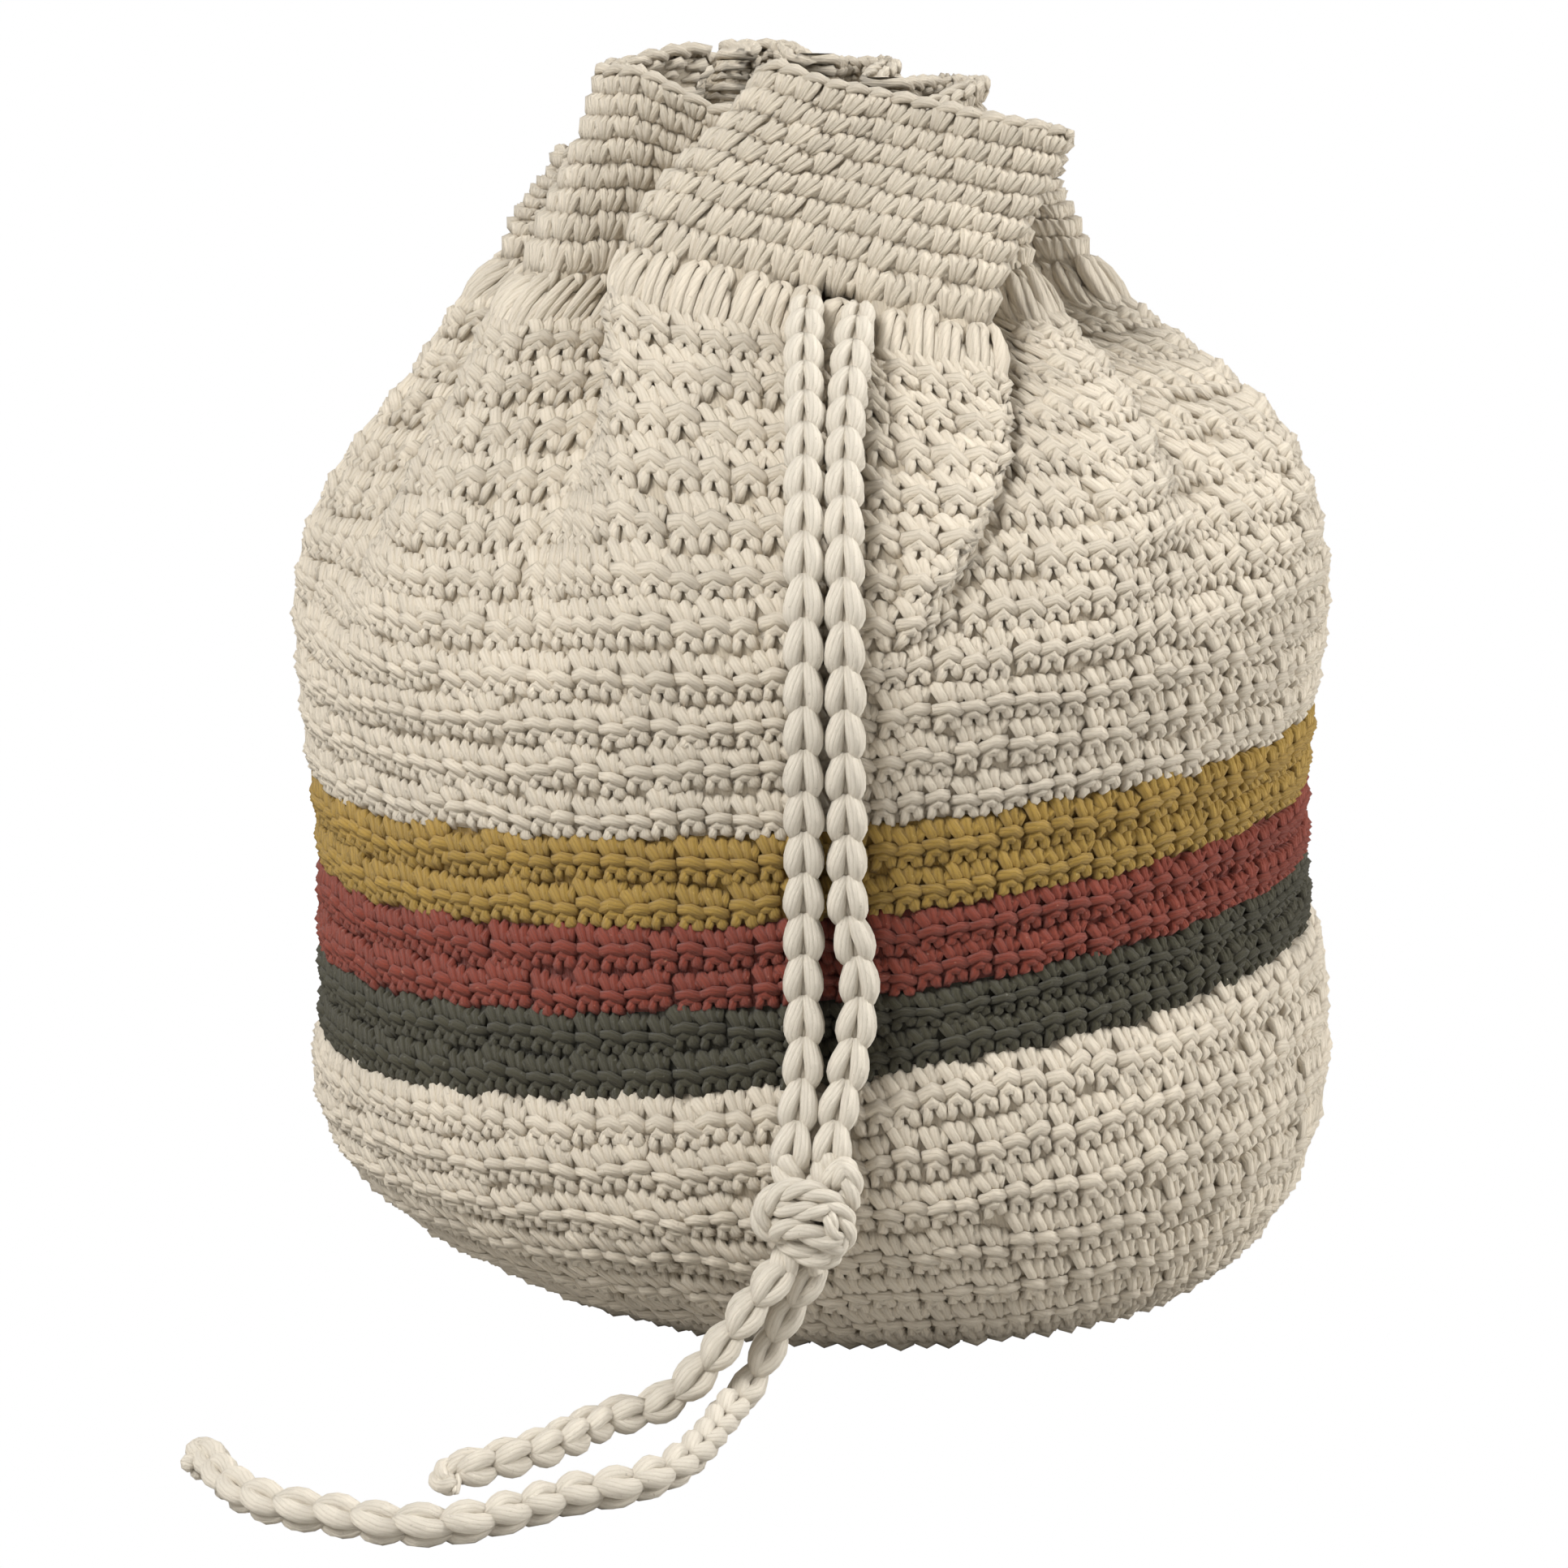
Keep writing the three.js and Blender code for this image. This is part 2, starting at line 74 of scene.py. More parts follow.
# Stitches in a round of the wall, and in millimetres the width of one lower down and the cloth's thickness
COLUMNS = 124
STITCH_PITCH = 5.95
WALL = 4.5

# The two holes for the cord, in columns from the front, and the stitches left out at them
EYELETS = ((-0.5, 1.2), (1.5, 2.7))
NO_GAP = -9
EYELET_GAPS = (0, NO_GAP)

# The yarn: the radius on which its plies are counted, their number round it, and the millimetres by which
# the texture of one strand of a stitch is moved on from the last
YARN_RADIUS = 1.4
PLIES = 8
STRAND_OFFSET = 3.7

# The bag's profile: round, height, radius, sideways shift, rise of its right side, in millimetres
PROFILE = (
    (0, 0, 0, 16, 0), (5.5, 0, 70, 16, 0), (6.5, 3.5, 84, 15, 0.3), (7.5, 12, 97, 12.5, 1.5),
    (9, 27, 111, 8, 5), (10.5, 44, 118.5, 4, 9), (12, 61.5, 120, 1.5, 12.5), (13, 73, 117.5, 0.5, 14),
    (15, 91, 116.5, 0, 12), (17, 109.5, 116.5, 0, 10), (19, 129.5, 118, 0, 8.8), (22, 160, 120.5, 0, 8),
    (24, 180, 116, 0, 7.5), (26, 199, 102.5, 0, 6), (28, 216, 82, -1, 3), (30, 232, 64, -3, 0),
    (31, 241, 57, -3, 0), (39, 281, 50, 0, 0),
)
BELLY_RADIUS = 120.5
NECK_RADIUS = 64.0
NECK_MEAN_RADIUS = 56.0

# How the folds deepen towards the neck, how often a valley's lean is worked out anew, and how straight
# the collar runs from the neck to the rim
FOLD_GROWTH = 0.55
LEAN_PASSES = 6
COLLAR_STRAIGHT = 0.7


@dataclass(frozen=True)
class Fold:
    """One fold of the gathered cloth and the valley after it.

    Angles are degrees from the front towards +X, lengths are millimetres, and lean is the part of
    a turn by which the valley lies off its column lower down.
    """

    at: float
    out: float
    wide: float
    lift: float
    valley_at: float
    valley_out: float
    valley_lift: float
    lean: float = 0.0


NECK_FOLDS = (
    Fold(2, 57, 82, 0, 50, 34, 0, -0.075),
    Fold(64, 58, 15, 0, 78, 34, 0, -0.055),
    Fold(93, 68, 16, 0, 110, 34, 0, -0.03),
    Fold(127, 66, 16, 0, 144, 34, 0),
    Fold(161, 66, 16, 0, 180, 34, 0),
    Fold(199, 66, 16, 0, 216, 34, 0),
    Fold(233, 68, 16, 0, 249, 34, 0),
    Fold(265, 70, 16, 0, 279, 36, 0),
    Fold(294, 68, 18, 0, 313, 40, 0),
)
RIM_FOLDS = (
    Fold(28.5, 49, 69, -1, 66, 34, -12),
    Fold(76, 56, 14, -16, 90, 34, -14),
    Fold(104, 62, 14, -14, 119, 33, -8),
    Fold(138, 58, 13, -3, 151, 32, -2),
    Fold(165, 53, 15, 1, 180, 33, 3),
    Fold(196, 54, 15, 5, 213, 32, 5),
    Fold(230, 57, 15, 1, 247, 31, 2),
    Fold(266, 60, 15, -16, 289, 29, 8),
    Fold(302, 55, 17, 5, 333, 38, -4),
)

# The front flap's slope and turn, and the corners of the flap and of the other folds, as shares of their
# width with the millimetres by which each stands back
FLAP_SLOPE = 0.22
FLAP_TURN = 0.05
FLAP_STEPS = (-0.5, -0.3, -0.03, 0.25, 0.5)
FLAP_DROPS = (5.0, 0.0, 1.5, 0.0, 5.0)
FOLD_STEPS = (-0.5, 0.0, 0.5)
FOLD_DROP = 3.5
FRONT_CORNER = 2

# Samples between two points of a cord's route, a stitch's strand, a link's arm and a band of the knot
ROUTE_PIECES = 24
STRAND_PIECES = 8
ARM_PIECES = 6
BAND_PIECES = 7

# Every how many samples are kept along an arm, along the core of the cord and along its centreline
ARM_STEP = 3
CORE_STEP = 12
PATH_STEP = 4

# Routes of the cord in millimetres, as its solids have them
RING_ROUTE = (
    (-1, -49.4, 236.5), (-1.6, -45.5, 236.5), (-6, -41, 236.5), (-15, -38.5, 236.5), (-24, -35.5, 236.5),
    (-33, -29, 236.5), (-39.5, -18, 236.5), (-40.5, -6.8, 236.5), (-39, 3, 236.5),
    (-36, 12.5, 236.5), (-31, 21.5, 236.5), (-24, 28.7, 236.5), (-14, 34, 236.5),
    (-2.8, 35.5, 236.5), (8.5, 33.5, 236.5), (18, 28.5, 236.5), (25.5, 21, 236.5),
    (30.5, 11.5, 236.5), (32.5, 1.5, 236.5), (31.5, -8.2, 236.5), (28.5, -16, 236.5),
    (23.5, -23, 236), (17, -31, 235.5), (12, -38.5, 235.2), (10.7, -44.5, 235), (10.5, -49.4, 235),
)
LEFT_RUN_ROUTE = (
    (-1, -50.2, 236.5), (-1.1, -60, 236.8), (-1.5, -68, 235), (-1.8, -76, 230.6),
    (-1.8, -93, 218.6), (-1.8, -108.2, 205), (-1.8, -118.4, 191), (-1.8, -124.2, 176),
    (-1.8, -126.3, 158), (-1.8, -125.6, 145), (-1.8, -124.3, 133), (-1.8, -122.7, 113),
    (-1.8, -122.5, 94), (-2, -124.6, 78), (-3.4, -127.6, 66), (-5.2, -129.8, 57.6),
)
RIGHT_RUN_ROUTE = (
    (10.5, -50.2, 235), (10.4, -60, 235.2), (9.8, -68, 233.4), (9, -76, 229.2),
    (7.4, -93, 217.6), (6.8, -108, 204.6), (6.8, -118.2, 191), (6.8, -124, 176),
    (7, -126, 158), (7.2, -125.4, 145), (7.4, -124.2, 133), (7.8, -122.6, 113),
    (10.4, -122.4, 97), (8.4, -124.4, 81), (5.2, -127.2, 67), (3.6, -129.6, 57.6),
)
SHORT_TAIL_ROUTE = (
    (-5.5, -134, 36.8), (-9, -134.5, 33), (-14, -134, 26.5), (-20, -133.5, 18),
    (-27, -133.5, 10), (-34, -135, 5.2), (-44.5, -141.5, 4.4), (-54, -156, 4.4),
    (-62.5, -165.5, 4.4), (-69, -171, 4.4), (-75, -176, 4.4),
)
LONG_TAIL_ROUTE = (
    (1.2, -129, 35.4), (-2, -128.6, 30), (-6.5, -128, 22), (-10.5, -128, 13.5),
    (-14.5, -130, 7), (-19, -139, 4.6), (-23, -156, 4.4), (-29.5, -174, 4.4),
    (-39, -184.5, 4.4), (-50, -190.5, 4.4), (-62, -201, 4.4), (-73.5, -208.5, 4.4),
    (-86, -208.5, 4.4), (-98, -203, 4.4), (-110, -197.5, 4.4), (-118, -189.5, 4.4),
    (-124, -177.5, 4.4), (-127.5, -167, 4.4),
)

# One arm of a link of the chain: sideways in millimetres, along in links, out in millimetres
LINK_ARM = ((1.5, 0.56, -0.3), (2.4, 0.27, 1.2), (2.0, -0.10, 1.95), (0.6, -0.60, 0.8))

# The tails' ends: a round knob on the long one, a loop and a thread on the short one, in millimetres from
# the end of the route in plan and up from the ground, each with its radius
LONG_TAIL_END = (
    (((2.0, -5.0, 4.6), (0.4, -1.6, 5.0), (-1.8, 1.0, 5.0), (-2.6, -2.0, 4.4), (-1.8, -5.0, 4.0)), 3.4),
)
SHORT_TAIL_END = (
    (((5.0, 3.0, 4.6), (1.0, 1.6, 5.0), (-2.4, -0.8, 4.6), (-2.6, -3.4, 3.2), (0.4, -3.6, 2.8)), 2.5),
    (((0.8, -1.8, 4.4), (0.9, -4.4, 3.2), (0.4, -6.4, 1.8)), 0.8),
)

# Plies of a thick band of yarn, and the millimetres in which they turn once
BAND_PLIES = 3
BAND_TWIST = 15.0

# The knot's bands: right, up and out from its middle, in millimetres, each with its radius
KNOT_AT = (-1.5, -131.5, 47.0)
KNOT_BANDS = (
    (((-4.6, -4.0, 0.5), (-8.6, -1.6, 3.4), (-9.0, 3.2, 4.6), (-5.8, 6.9, 5.2), (-0.7, 7.9, 5.6),
      (4.4, 6.0, 5.6), (8.2, 1.8, 4.6), (8.6, -3.6, 3.6), (4.4, -6.9, 4.4), (-1.0, -5.4, 4.6),
      (-4.6, -2.6, 2.4)), 2.5),
    (((-8.0, 4.6, 1.0), (-5.6, 3.8, 5.0), (-1.2, 3.6, 7.2), (3.4, 3.4, 7.0), (6.0, 2.2, 3.0)), 2.2),
    (((-7.4, -2.6, 2.0), (-4.6, -0.6, 6.0), (-0.6, -0.4, 7.2), (3.6, -2.8, 6.8), (8.0, -5.2, 4.0)), 2.6),
    (((4.4, 3.4, 4.4), (5.4, 1.6, 7.6), (6.0, -1.2, 7.4), (7.6, -3.4, 4.6)), 1.7),
    (((-6.0, -4.0, 1.0), (-2.0, -6.0, 4.8), (3.4, -8.2, 5.0), (7.4, -7.4, 3.0)), 2.1),
    (((3.6, 6.4, 0.0), (6.2, 9.4, 2.0), (8.8, 11.6, 2.4), (10.0, 7.8, 2.6), (9.0, 2.6, 1.6)), 2.7),
    (((-7.0, 0.0, -3.0), (0.0, 1.0, -2.4), (7.6, -1.0, -2.6)), 6.4),
    (((-3.8, 13.0, -2.2), (-3.6, 9.0, -0.6), (-2.2, 4.0, 1.6)), 3.5),
    (((5.2, 13.0, -2.4), (4.2, 9.0, -0.8), (1.8, 4.0, 1.4)), 3.5),
    (((-1.6, -3.0, 1.0), (-3.6, -8.0, 2.0), (-5.6, -12.0, 2.8)), 3.4),
    (((2.0, -3.0, -0.6), (2.6, -8.0, -1.6), (1.8, -13.0, -2.6)), 3.3),
)


def gentle_curve(places: Array, values: Array, at: Array) -> Array:
    """Read a smooth curve that rises and falls only where its points do.

    Args:
        places: Rising places of the points.
        values: Values at the points.
        at: Places to read.

    Returns:
        The values read.
    """
    spans = np.diff(places)
    steps = np.diff(values) / spans
    slopes = np.concatenate([steps[:1], np.zeros(len(steps) - 1), steps[-1:]])
    for i in range(1, len(steps)):
        if steps[i - 1] * steps[i] > 0:
            before = 2 * spans[i] + spans[i - 1]
            after = spans[i] + 2 * spans[i - 1]
            slopes[i] = (before + after) / (before / steps[i - 1] + after / steps[i])
    i = np.clip(np.searchsorted(places, at) - 1, 0, len(spans) - 1)
    t = (at - places[i]) / spans[i]
    rest = 1 - t
    start = (1 + 2 * t) * rest * rest * values[i]
    end = t * t * (3 - 2 * t) * values[i + 1]
    return start + end + spans[i] * (t * rest * rest * slopes[i] - t * t * rest * slopes[i + 1])


def smooth_path(points: Array, pieces: int, closed: bool = False) -> Array:
    """Sample a smooth line through points, its steps weighted by the roots of their distances.

    Args:
        points: The points, one row each.
        pieces: Samples between two points.
        closed: True where the line comes back to its first point.

    Returns:
        The samples, with the last point, or the first again where closed.
    """
    if closed:
        padded = np.concatenate([points[-1:], points, points[:2]])
    else:
        padded = np.concatenate([2 * points[:1] - points[1:2], points, 2 * points[-1:] - points[-2:-1]])
    share = np.linspace(0.0, 1.0, pieces, endpoint=False)[:, None]
    rows = []
    for corners in (padded[i:i + 4] for i in range(len(padded) - 3)):
        hops = np.diff(corners, axis=0)
        before, span, after = np.sqrt(np.linalg.norm(hops, axis=1))
        around_start = (corners[2] - corners[0]) / (before + span)
        around_end = (corners[3] - corners[1]) / (span + after)
        leave = (hops[0] / before - around_start + hops[1] / span) * span
        arrive = (hops[1] / span - around_end + hops[2] / after) * span
        square = share * share
        cube = square * share
        rows.append(corners[1] * (2 * cube - 3 * square + 1) + leave * (cube - 2 * square + share)
                    + corners[2] * (3 * square - 2 * cube) + arrive * (cube - square))
    return np.concatenate(rows + [padded[-2:-1]])


def lengths_along(path: Array) -> Array:
    """The length of a path up to each of its points."""
    return np.concatenate([[0.0], np.cumsum(np.linalg.norm(np.diff(path, axis=0), axis=1))])


def read_rows(at: Array, places: Array, rows: Array) -> Array:
    """Read rows of three numbers, one row for each rising place, at other places."""
    return np.stack([np.interp(at, places, rows[:, k]) for k in range(3)], axis=-1)


def swelling(rings: int, end: float) -> Array:
    """How thick a strand is at its rings, 1 in the middle and less towards both ends."""
    return np.sin(np.pi * (end + (1 - 2 * end) * np.linspace(0.0, 1.0, rings)))


@dataclass
class FoldedOutline:
    """A closed gathered outline, read by the share of its length in plan."""

    folds: Sequence[Fold]
    pieces: int = 24
    samples: Array = field(init=False)
    lengths: Array = field(init=False)

    def __post_init__(self) -> None:
        """Sample the outline through the folds' corners."""
        points = np.roll(self.corners(), -FRONT_CORNER, axis=0)
        self.samples = smooth_path(points, self.pieces, closed=True)
        self.lengths = lengths_along(self.samples[:, :2])

    def corners(self) -> Array:
        """The corner points of the folds, with the height offset as the third number."""
        points = []
        for index, fold in enumerate(self.folds):
            angle = math.radians(fold.at)
            out = np.array([math.sin(angle), -math.cos(angle)])
            is_flap = index == 0
            along = np.array([1.0, FLAP_TURN]) if is_flap else np.array([-out[1], out[0]])
            inward = np.array([0.0, 1.0]) if is_flap else -out
            for corner, step in enumerate(FLAP_STEPS if is_flap else FOLD_STEPS):
                drop = FLAP_DROPS[corner] if is_flap else FOLD_DROP * abs(np.sign(step))
                place = out * fold.out + along * fold.wide * step + inward * drop
                slope = FLAP_SLOPE * fold.wide * step if is_flap else 0.0
                points.append((place[0], place[1], fold.lift - slope))
            valley = math.radians(fold.valley_at)
            valley_x, valley_y = math.sin(valley) * fold.valley_out, -math.cos(valley) * fold.valley_out
            points.append((valley_x, valley_y, fold.valley_lift))
        return np.array(points)

    def corner_turn(self, corner: int) -> float:
        """The turn at which a corner lies, counted from the front corner."""
        return float(self.lengths[corner * self.pieces] / self.lengths[-1])

    def at(self, turn: Array) -> Array:
        """Points of the outline at turns."""
        return read_rows(np.mod(turn, 1.0) * self.lengths[-1], self.lengths, self.samples)


@dataclass
class Cloth:
    """The bag's cloth as a surface over turns round the bag and rounds of crochet."""

    neck: FoldedOutline = field(default_factory=lambda: FoldedOutline(NECK_FOLDS))
    rim: FoldedOutline = field(default_factory=lambda: FoldedOutline(RIM_FOLDS))
    lean_turns: list[float] = field(default_factory=lambda: [-0.5, 0.0])
    lean_shares: list[float] = field(default_factory=lambda: [0.0, 0.0])
    nudge_turn: float = 0.0015
    nudge_round: float = 0.12
    lowest_round: float = 0.01
    first_round: float = 0.05

    def __post_init__(self) -> None:
        """Note where the neck's right-hand valleys lie and how far each leans."""
        corner = len(FLAP_STEPS) - FRONT_CORNER
        for fold in NECK_FOLDS:
            turn = self.neck.corner_turn(corner)
            if turn < 0.5:
                self.lean_turns.append(turn)
                self.lean_shares.append(fold.lean)
            corner += len(FOLD_STEPS) + 1
        self.lean_turns.append(0.5)
        self.lean_shares.append(0.0)

    def profile(self, column: int, rounds: Array) -> Array:
        """Read one column of the bag's profile."""
        table = np.array(PROFILE, dtype=float)
        return gentle_curve(table[:, 0], table[:, column], rounds)

    def point(self, turn: Array, rounds: Array) -> Array:
        """Points of the cloth's outer side.

        Args:
            turn: Turns round the bag from its front.
            rounds: Rounds up from the middle of the base.

        Returns:
            One row of millimetres for each place.
        """
        angle = TAU * turn
        out_x, out_y = np.sin(angle), -np.cos(angle)
        neck = self.neck.at(turn)
        height, radius, shift, rise = (self.profile(column, rounds) for column in range(1, 5))
        drawn = np.clip((BELLY_RADIUS - radius) / (BELLY_RADIUS - NECK_RADIUS), 0.0, 1.0)
        depth = np.where(rounds > FOLDS_FROM, drawn, 0.0) ** FOLD_GROWTH
        around = turn - np.round(turn)
        source = around
        for _ in range(LEAN_PASSES):
            source = around - np.interp(source, self.lean_turns, self.lean_shares) * (1 - depth)
        fold = self.neck.at(source)
        src_x, src_y = np.sin(TAU * source), -np.cos(TAU * source)
        off_x = fold[..., 0] - src_x * NECK_MEAN_RADIUS
        off_y = fold[..., 1] - src_y * NECK_MEAN_RADIUS
        out_by = off_x * src_x + off_y * src_y
        along_by = off_y * src_x - off_x * src_y
        low = np.stack([
            shift + out_x * radius + depth * (out_by * out_x - along_by * out_y),
            out_y * radius + depth * (out_by * out_y + along_by * out_x),
            height + rise * out_x + depth * fold[..., 2],
        ], axis=-1)
        rim = self.rim.at(turn)
        climb = np.clip((rounds - COLLAR_FROM) / (RIM - COLLAR_FROM), 0.0, 1.0)
        share = COLLAR_STRAIGHT * climb + (1 - COLLAR_STRAIGHT) * climb * climb * (3 - 2 * climb)
        collar_shift = self.profile(3, np.full_like(rounds, float(COLLAR_FROM)))
        high = np.stack([
            (neck[..., 0] + collar_shift) * (1 - share) + rim[..., 0] * share,
            neck[..., 1] * (1 - share) + rim[..., 1] * share,
            height + neck[..., 2] * (1 - share) + rim[..., 2] * share,
        ], axis=-1)
        return np.where((rounds > COLLAR_FROM)[..., None], high, low)

    def normal(self, turn: Array, rounds: Array) -> Array:
        """Unit vectors out of the cloth, evened over a fraction of a stitch."""
        low = np.maximum(rounds - self.nudge_round, self.lowest_round)
        high = np.minimum(rounds + self.nudge_round, float(RIM))
        across = self.point(turn + self.nudge_turn, rounds) - self.point(turn - self.nudge_turn, rounds)
        out = np.cross(across, self.point(turn, high) - self.point(turn, low))
        return out / np.maximum(np.linalg.norm(out, axis=-1, keepdims=True), TINY)

    def place(self, turn: Array, rounds: Array, height: Array) -> Array:
        """Points at a height in millimetres out of the cloth."""
        capped = np.clip(rounds, self.first_round, float(RIM))
        base = self.point(turn, capped)
        base[..., 2] += (rounds - capped) * self.row_height(RIM - 1)
        return base + self.normal(turn, capped) * height[..., None]

    def row_height(self, at_round: float) -> float:
        """Length of one round up the cloth, in millimetres."""
        ends = self.point(np.zeros(2), np.array([at_round, at_round + 1.0]))
        return float(np.linalg.norm(ends[1] - ends[0]))


def frames_along(path: Array) -> tuple[Array, Array, Array]:
    """Carry a steady frame along a path.

    Args:
        path: Points along the path.

    Returns:
        Unit tangents, sideways vectors and the vectors square to both.
    """
    tangents = np.gradient(path, axis=0)
    tangents /= np.linalg.norm(tangents, axis=1, keepdims=True)
    side = np.cross(tangents[0], (0.0, 0.0, 1.0))
    if np.linalg.norm(side) < 0.1:
        side = np.cross(tangents[0], (0.0, 1.0, 0.0))
    sides = []
    for tangent in tangents:
        side = side - tangent * np.dot(side, tangent)
        side = side / np.linalg.norm(side)
        sides.append(side)
    sides = np.array(sides)
    return tangents, sides, np.cross(sides, tangents)


@dataclass(frozen=True)
class Strand:
    """One strand of a stitch, drawn in the stitch's own cell.

    Points are shares of the cell's width and height and millimetres out of the cloth.
    """

    points: tuple[Point, ...]
    radius: float
    rings: int = 5
    sides: int = 5
    flatness: float = 0.85
    taper: float = 0.62
    end: float = 0.12


@dataclass
class MeshParts:
    """Vertices, faces and texture places gathered into one mesh."""

    vertices: list[Array] = field(default_factory=list)
    faces: list[tuple[int, ...]] = field(default_factory=list)
    corner_uv: list[tuple[float, float]] = field(default_factory=list)
    count: int = 0

    def add_tube(self, path: Array, radii: Array, sides: int, start: float,
                 flatness: float = 1.0) -> None:
        """Add a closed tube whose texture keeps a ply's width whatever its radius.

        Args:
            path: Centres of its rings.
            radii: Radius at each ring.
            sides: Sides of its section.
            start: Offset of the texture along it.
            flatness: Its height as a share of its width.
        """
        _, across, up = frames_along(path)
        angles = TAU * (np.arange(sides) + 0.5) / sides
        ring = (across[:, None, :] * np.cos(angles)[None, :, None]
                + up[:, None, :] * np.sin(angles)[None, :, None] * flatness)
        points = path[:, None, :] + ring * radii[:, None, None]
        along = lengths_along(path) + start
        wraps = max(1, round(float(np.max(radii)) / YARN_RADIUS * PLIES)) / PLIES
        first = self.count
        rings = len(path)
        self.vertices.append(points.reshape(-1, 3))
        self.count += rings * sides
        for r in range(rings - 1):
            for side in range(sides):
                a = first + r * sides + side
                b = first + r * sides + (side + 1) % sides
                left, right = side / sides * wraps, (side + 1) / sides * wraps
                self.faces.append((a, b, b + sides, a + sides))
                low, high = along[r], along[r + 1]
                self.corner_uv += [(low, left), (low, right), (high, right), (high, left)]
        for end, order in ((0, range(sides - 1, -1, -1)), (rings - 1, range(sides))):
            self.faces.append(tuple(first + end * sides + side for side in order))
            self.corner_uv += [(along[end], side / sides * wraps) for side in order]

    def to_mesh(self, name: str) -> Mesh:
        """Make a Blender mesh whose corners carry the strand's texture places."""
        mesh = bpy.data.meshes.new(name)
        mesh.from_pydata(np.concatenate(self.vertices).tolist(), [], self.faces)
        layer = mesh.uv_layers.new(name="strand")
        layer.data.foreach_set("uv", np.array(self.corner_uv, dtype=np.float32).ravel())
        mesh.update()
        turn_outward(mesh)
        return mesh


def turn_outward(mesh: Mesh) -> None:
    """Point every face of a closed mesh outward and shade it smooth."""
    shape = bmesh.new()
    shape.from_mesh(mesh)
    bmesh.ops.recalc_face_normals(shape, faces=shape.faces)
    shape.to_mesh(mesh)
    shape.free()
    mesh.shade_smooth()


class StitchKind(Enum):
    """The kinds of stitch in the bag."""

    HALF_DOUBLE = "half_double"
    SINGLE = "single"
    TALL = "tall"
    RIM_CHAIN = "rim_chain"
    INSIDE = "inside"


# Width and height of a stitch's cell, in millimetres
CELL_SIZES = {
    StitchKind.HALF_DOUBLE: (6.0, 10.6),
    StitchKind.SINGLE: (6.2, 5.6),
    StitchKind.TALL: (6.2, 12.0),
    StitchKind.RIM_CHAIN: (6.2, 5.6),
    StitchKind.INSIDE: (6.2, 6.0),
}

# The strands of each stitch: points, radius, rings and sides
STRANDS = {
    StitchKind.HALF_DOUBLE: (
        Strand(((-0.12, 0.97, -1.2), (0.00, 0.90, 0.85), (0.24, 0.70, 1.15), (0.50, 0.46, 0.3)), 1.65, 4),
        Strand(((0.36, 0.98, -1.2), (0.47, 0.91, 0.8), (0.58, 0.71, 1.05), (0.64, 0.46, 0.3)), 1.5, 4),
        Strand(((0.84, 0.98, -1.1), (0.88, 0.82, 0.95), (0.78, 0.48, 0.2)), 1.35, 3, 4),
        Strand(((-0.04, 0.30, -1.0), (0.12, 0.45, 1.1), (0.46, 0.50, 1.9), (0.80, 0.42, 1.3),
                (0.98, 0.26, -0.9)), 1.6),
        Strand(((0.06, 0.18, -0.2), (0.42, 0.32, 1.65), (0.86, 0.18, 0.0)), 1.45, 3),
        Strand(((0.30, 0.34, 0.2), (0.22, 0.12, 1.25), (0.14, -0.09, -0.4)), 1.45, 3, 4),
        Strand(((0.56, 0.34, 0.2), (0.74, 0.12, 1.3), (0.94, -0.03, -0.5)), 1.55, 3),
    ),
    StitchKind.SINGLE: (
        Strand(((0.40, -0.06, -1.2), (0.30, 0.34, 0.6), (0.14, 0.76, 1.15), (0.0, 1.0, -0.4)), 1.65, 4),
        Strand(((0.52, -0.08, -1.2), (0.50, 0.38, 0.9), (0.50, 0.80, 1.25), (0.46, 1.03, -0.3)), 1.55, 4),
        Strand(((0.64, -0.06, -1.2), (0.76, 0.34, 0.6), (0.88, 0.76, 1.1), (0.98, 1.0, -0.4)), 1.6, 4),
        Strand(((-0.02, 0.02, -0.9), (-0.02, 0.30, 0.35), (0.0, 0.62, 0.1)), 1.35, 3, 4),
    ),
    StitchKind.TALL: (
        Strand(((0.04, -0.40, -0.4), (0.16, 0.10, 1.5), (0.34, 0.62, 1.7), (0.66, 1.0, -0.3)), 1.75, 6),
        Strand(((0.40, -0.40, -0.4), (0.50, 0.08, 1.4), (0.72, 0.56, 1.4), (1.06, 0.94, -0.3)), 1.65, 6),
        Strand(((0.70, 1.0, -0.2), (0.94, 0.88, 0.9), (0.98, 0.66, 0.9), (0.88, 0.44, -0.3)), 1.3),
        Strand(((0.70, -0.40, -0.4), (0.86, 0.06, 1.1), (0.98, 0.44, 0.5)), 1.5, 4),
    ),
    StitchKind.RIM_CHAIN: (
        Strand(((-0.1, 0.02, -0.5), (0.40, 0.02, 0.9), (0.85, 0.20, 0.9), (1.30, 0.46, 0.0)), 1.5),
        Strand(((-0.1, 0.98, -0.5), (0.40, 0.98, 0.9), (0.85, 0.80, 0.9), (1.30, 0.54, 0.0)), 1.5),
    ),
    StitchKind.INSIDE: (
        Strand(((-0.05, 0.55, -0.4), (0.45, 0.70, 0.7), (0.95, 0.55, -0.4)), 1.5, 3),
        Strand(((0.1, 0.1, -0.4), (0.5, 0.26, 0.4), (0.95, 0.05, -0.5)), 1.3, 3),
    ),
}


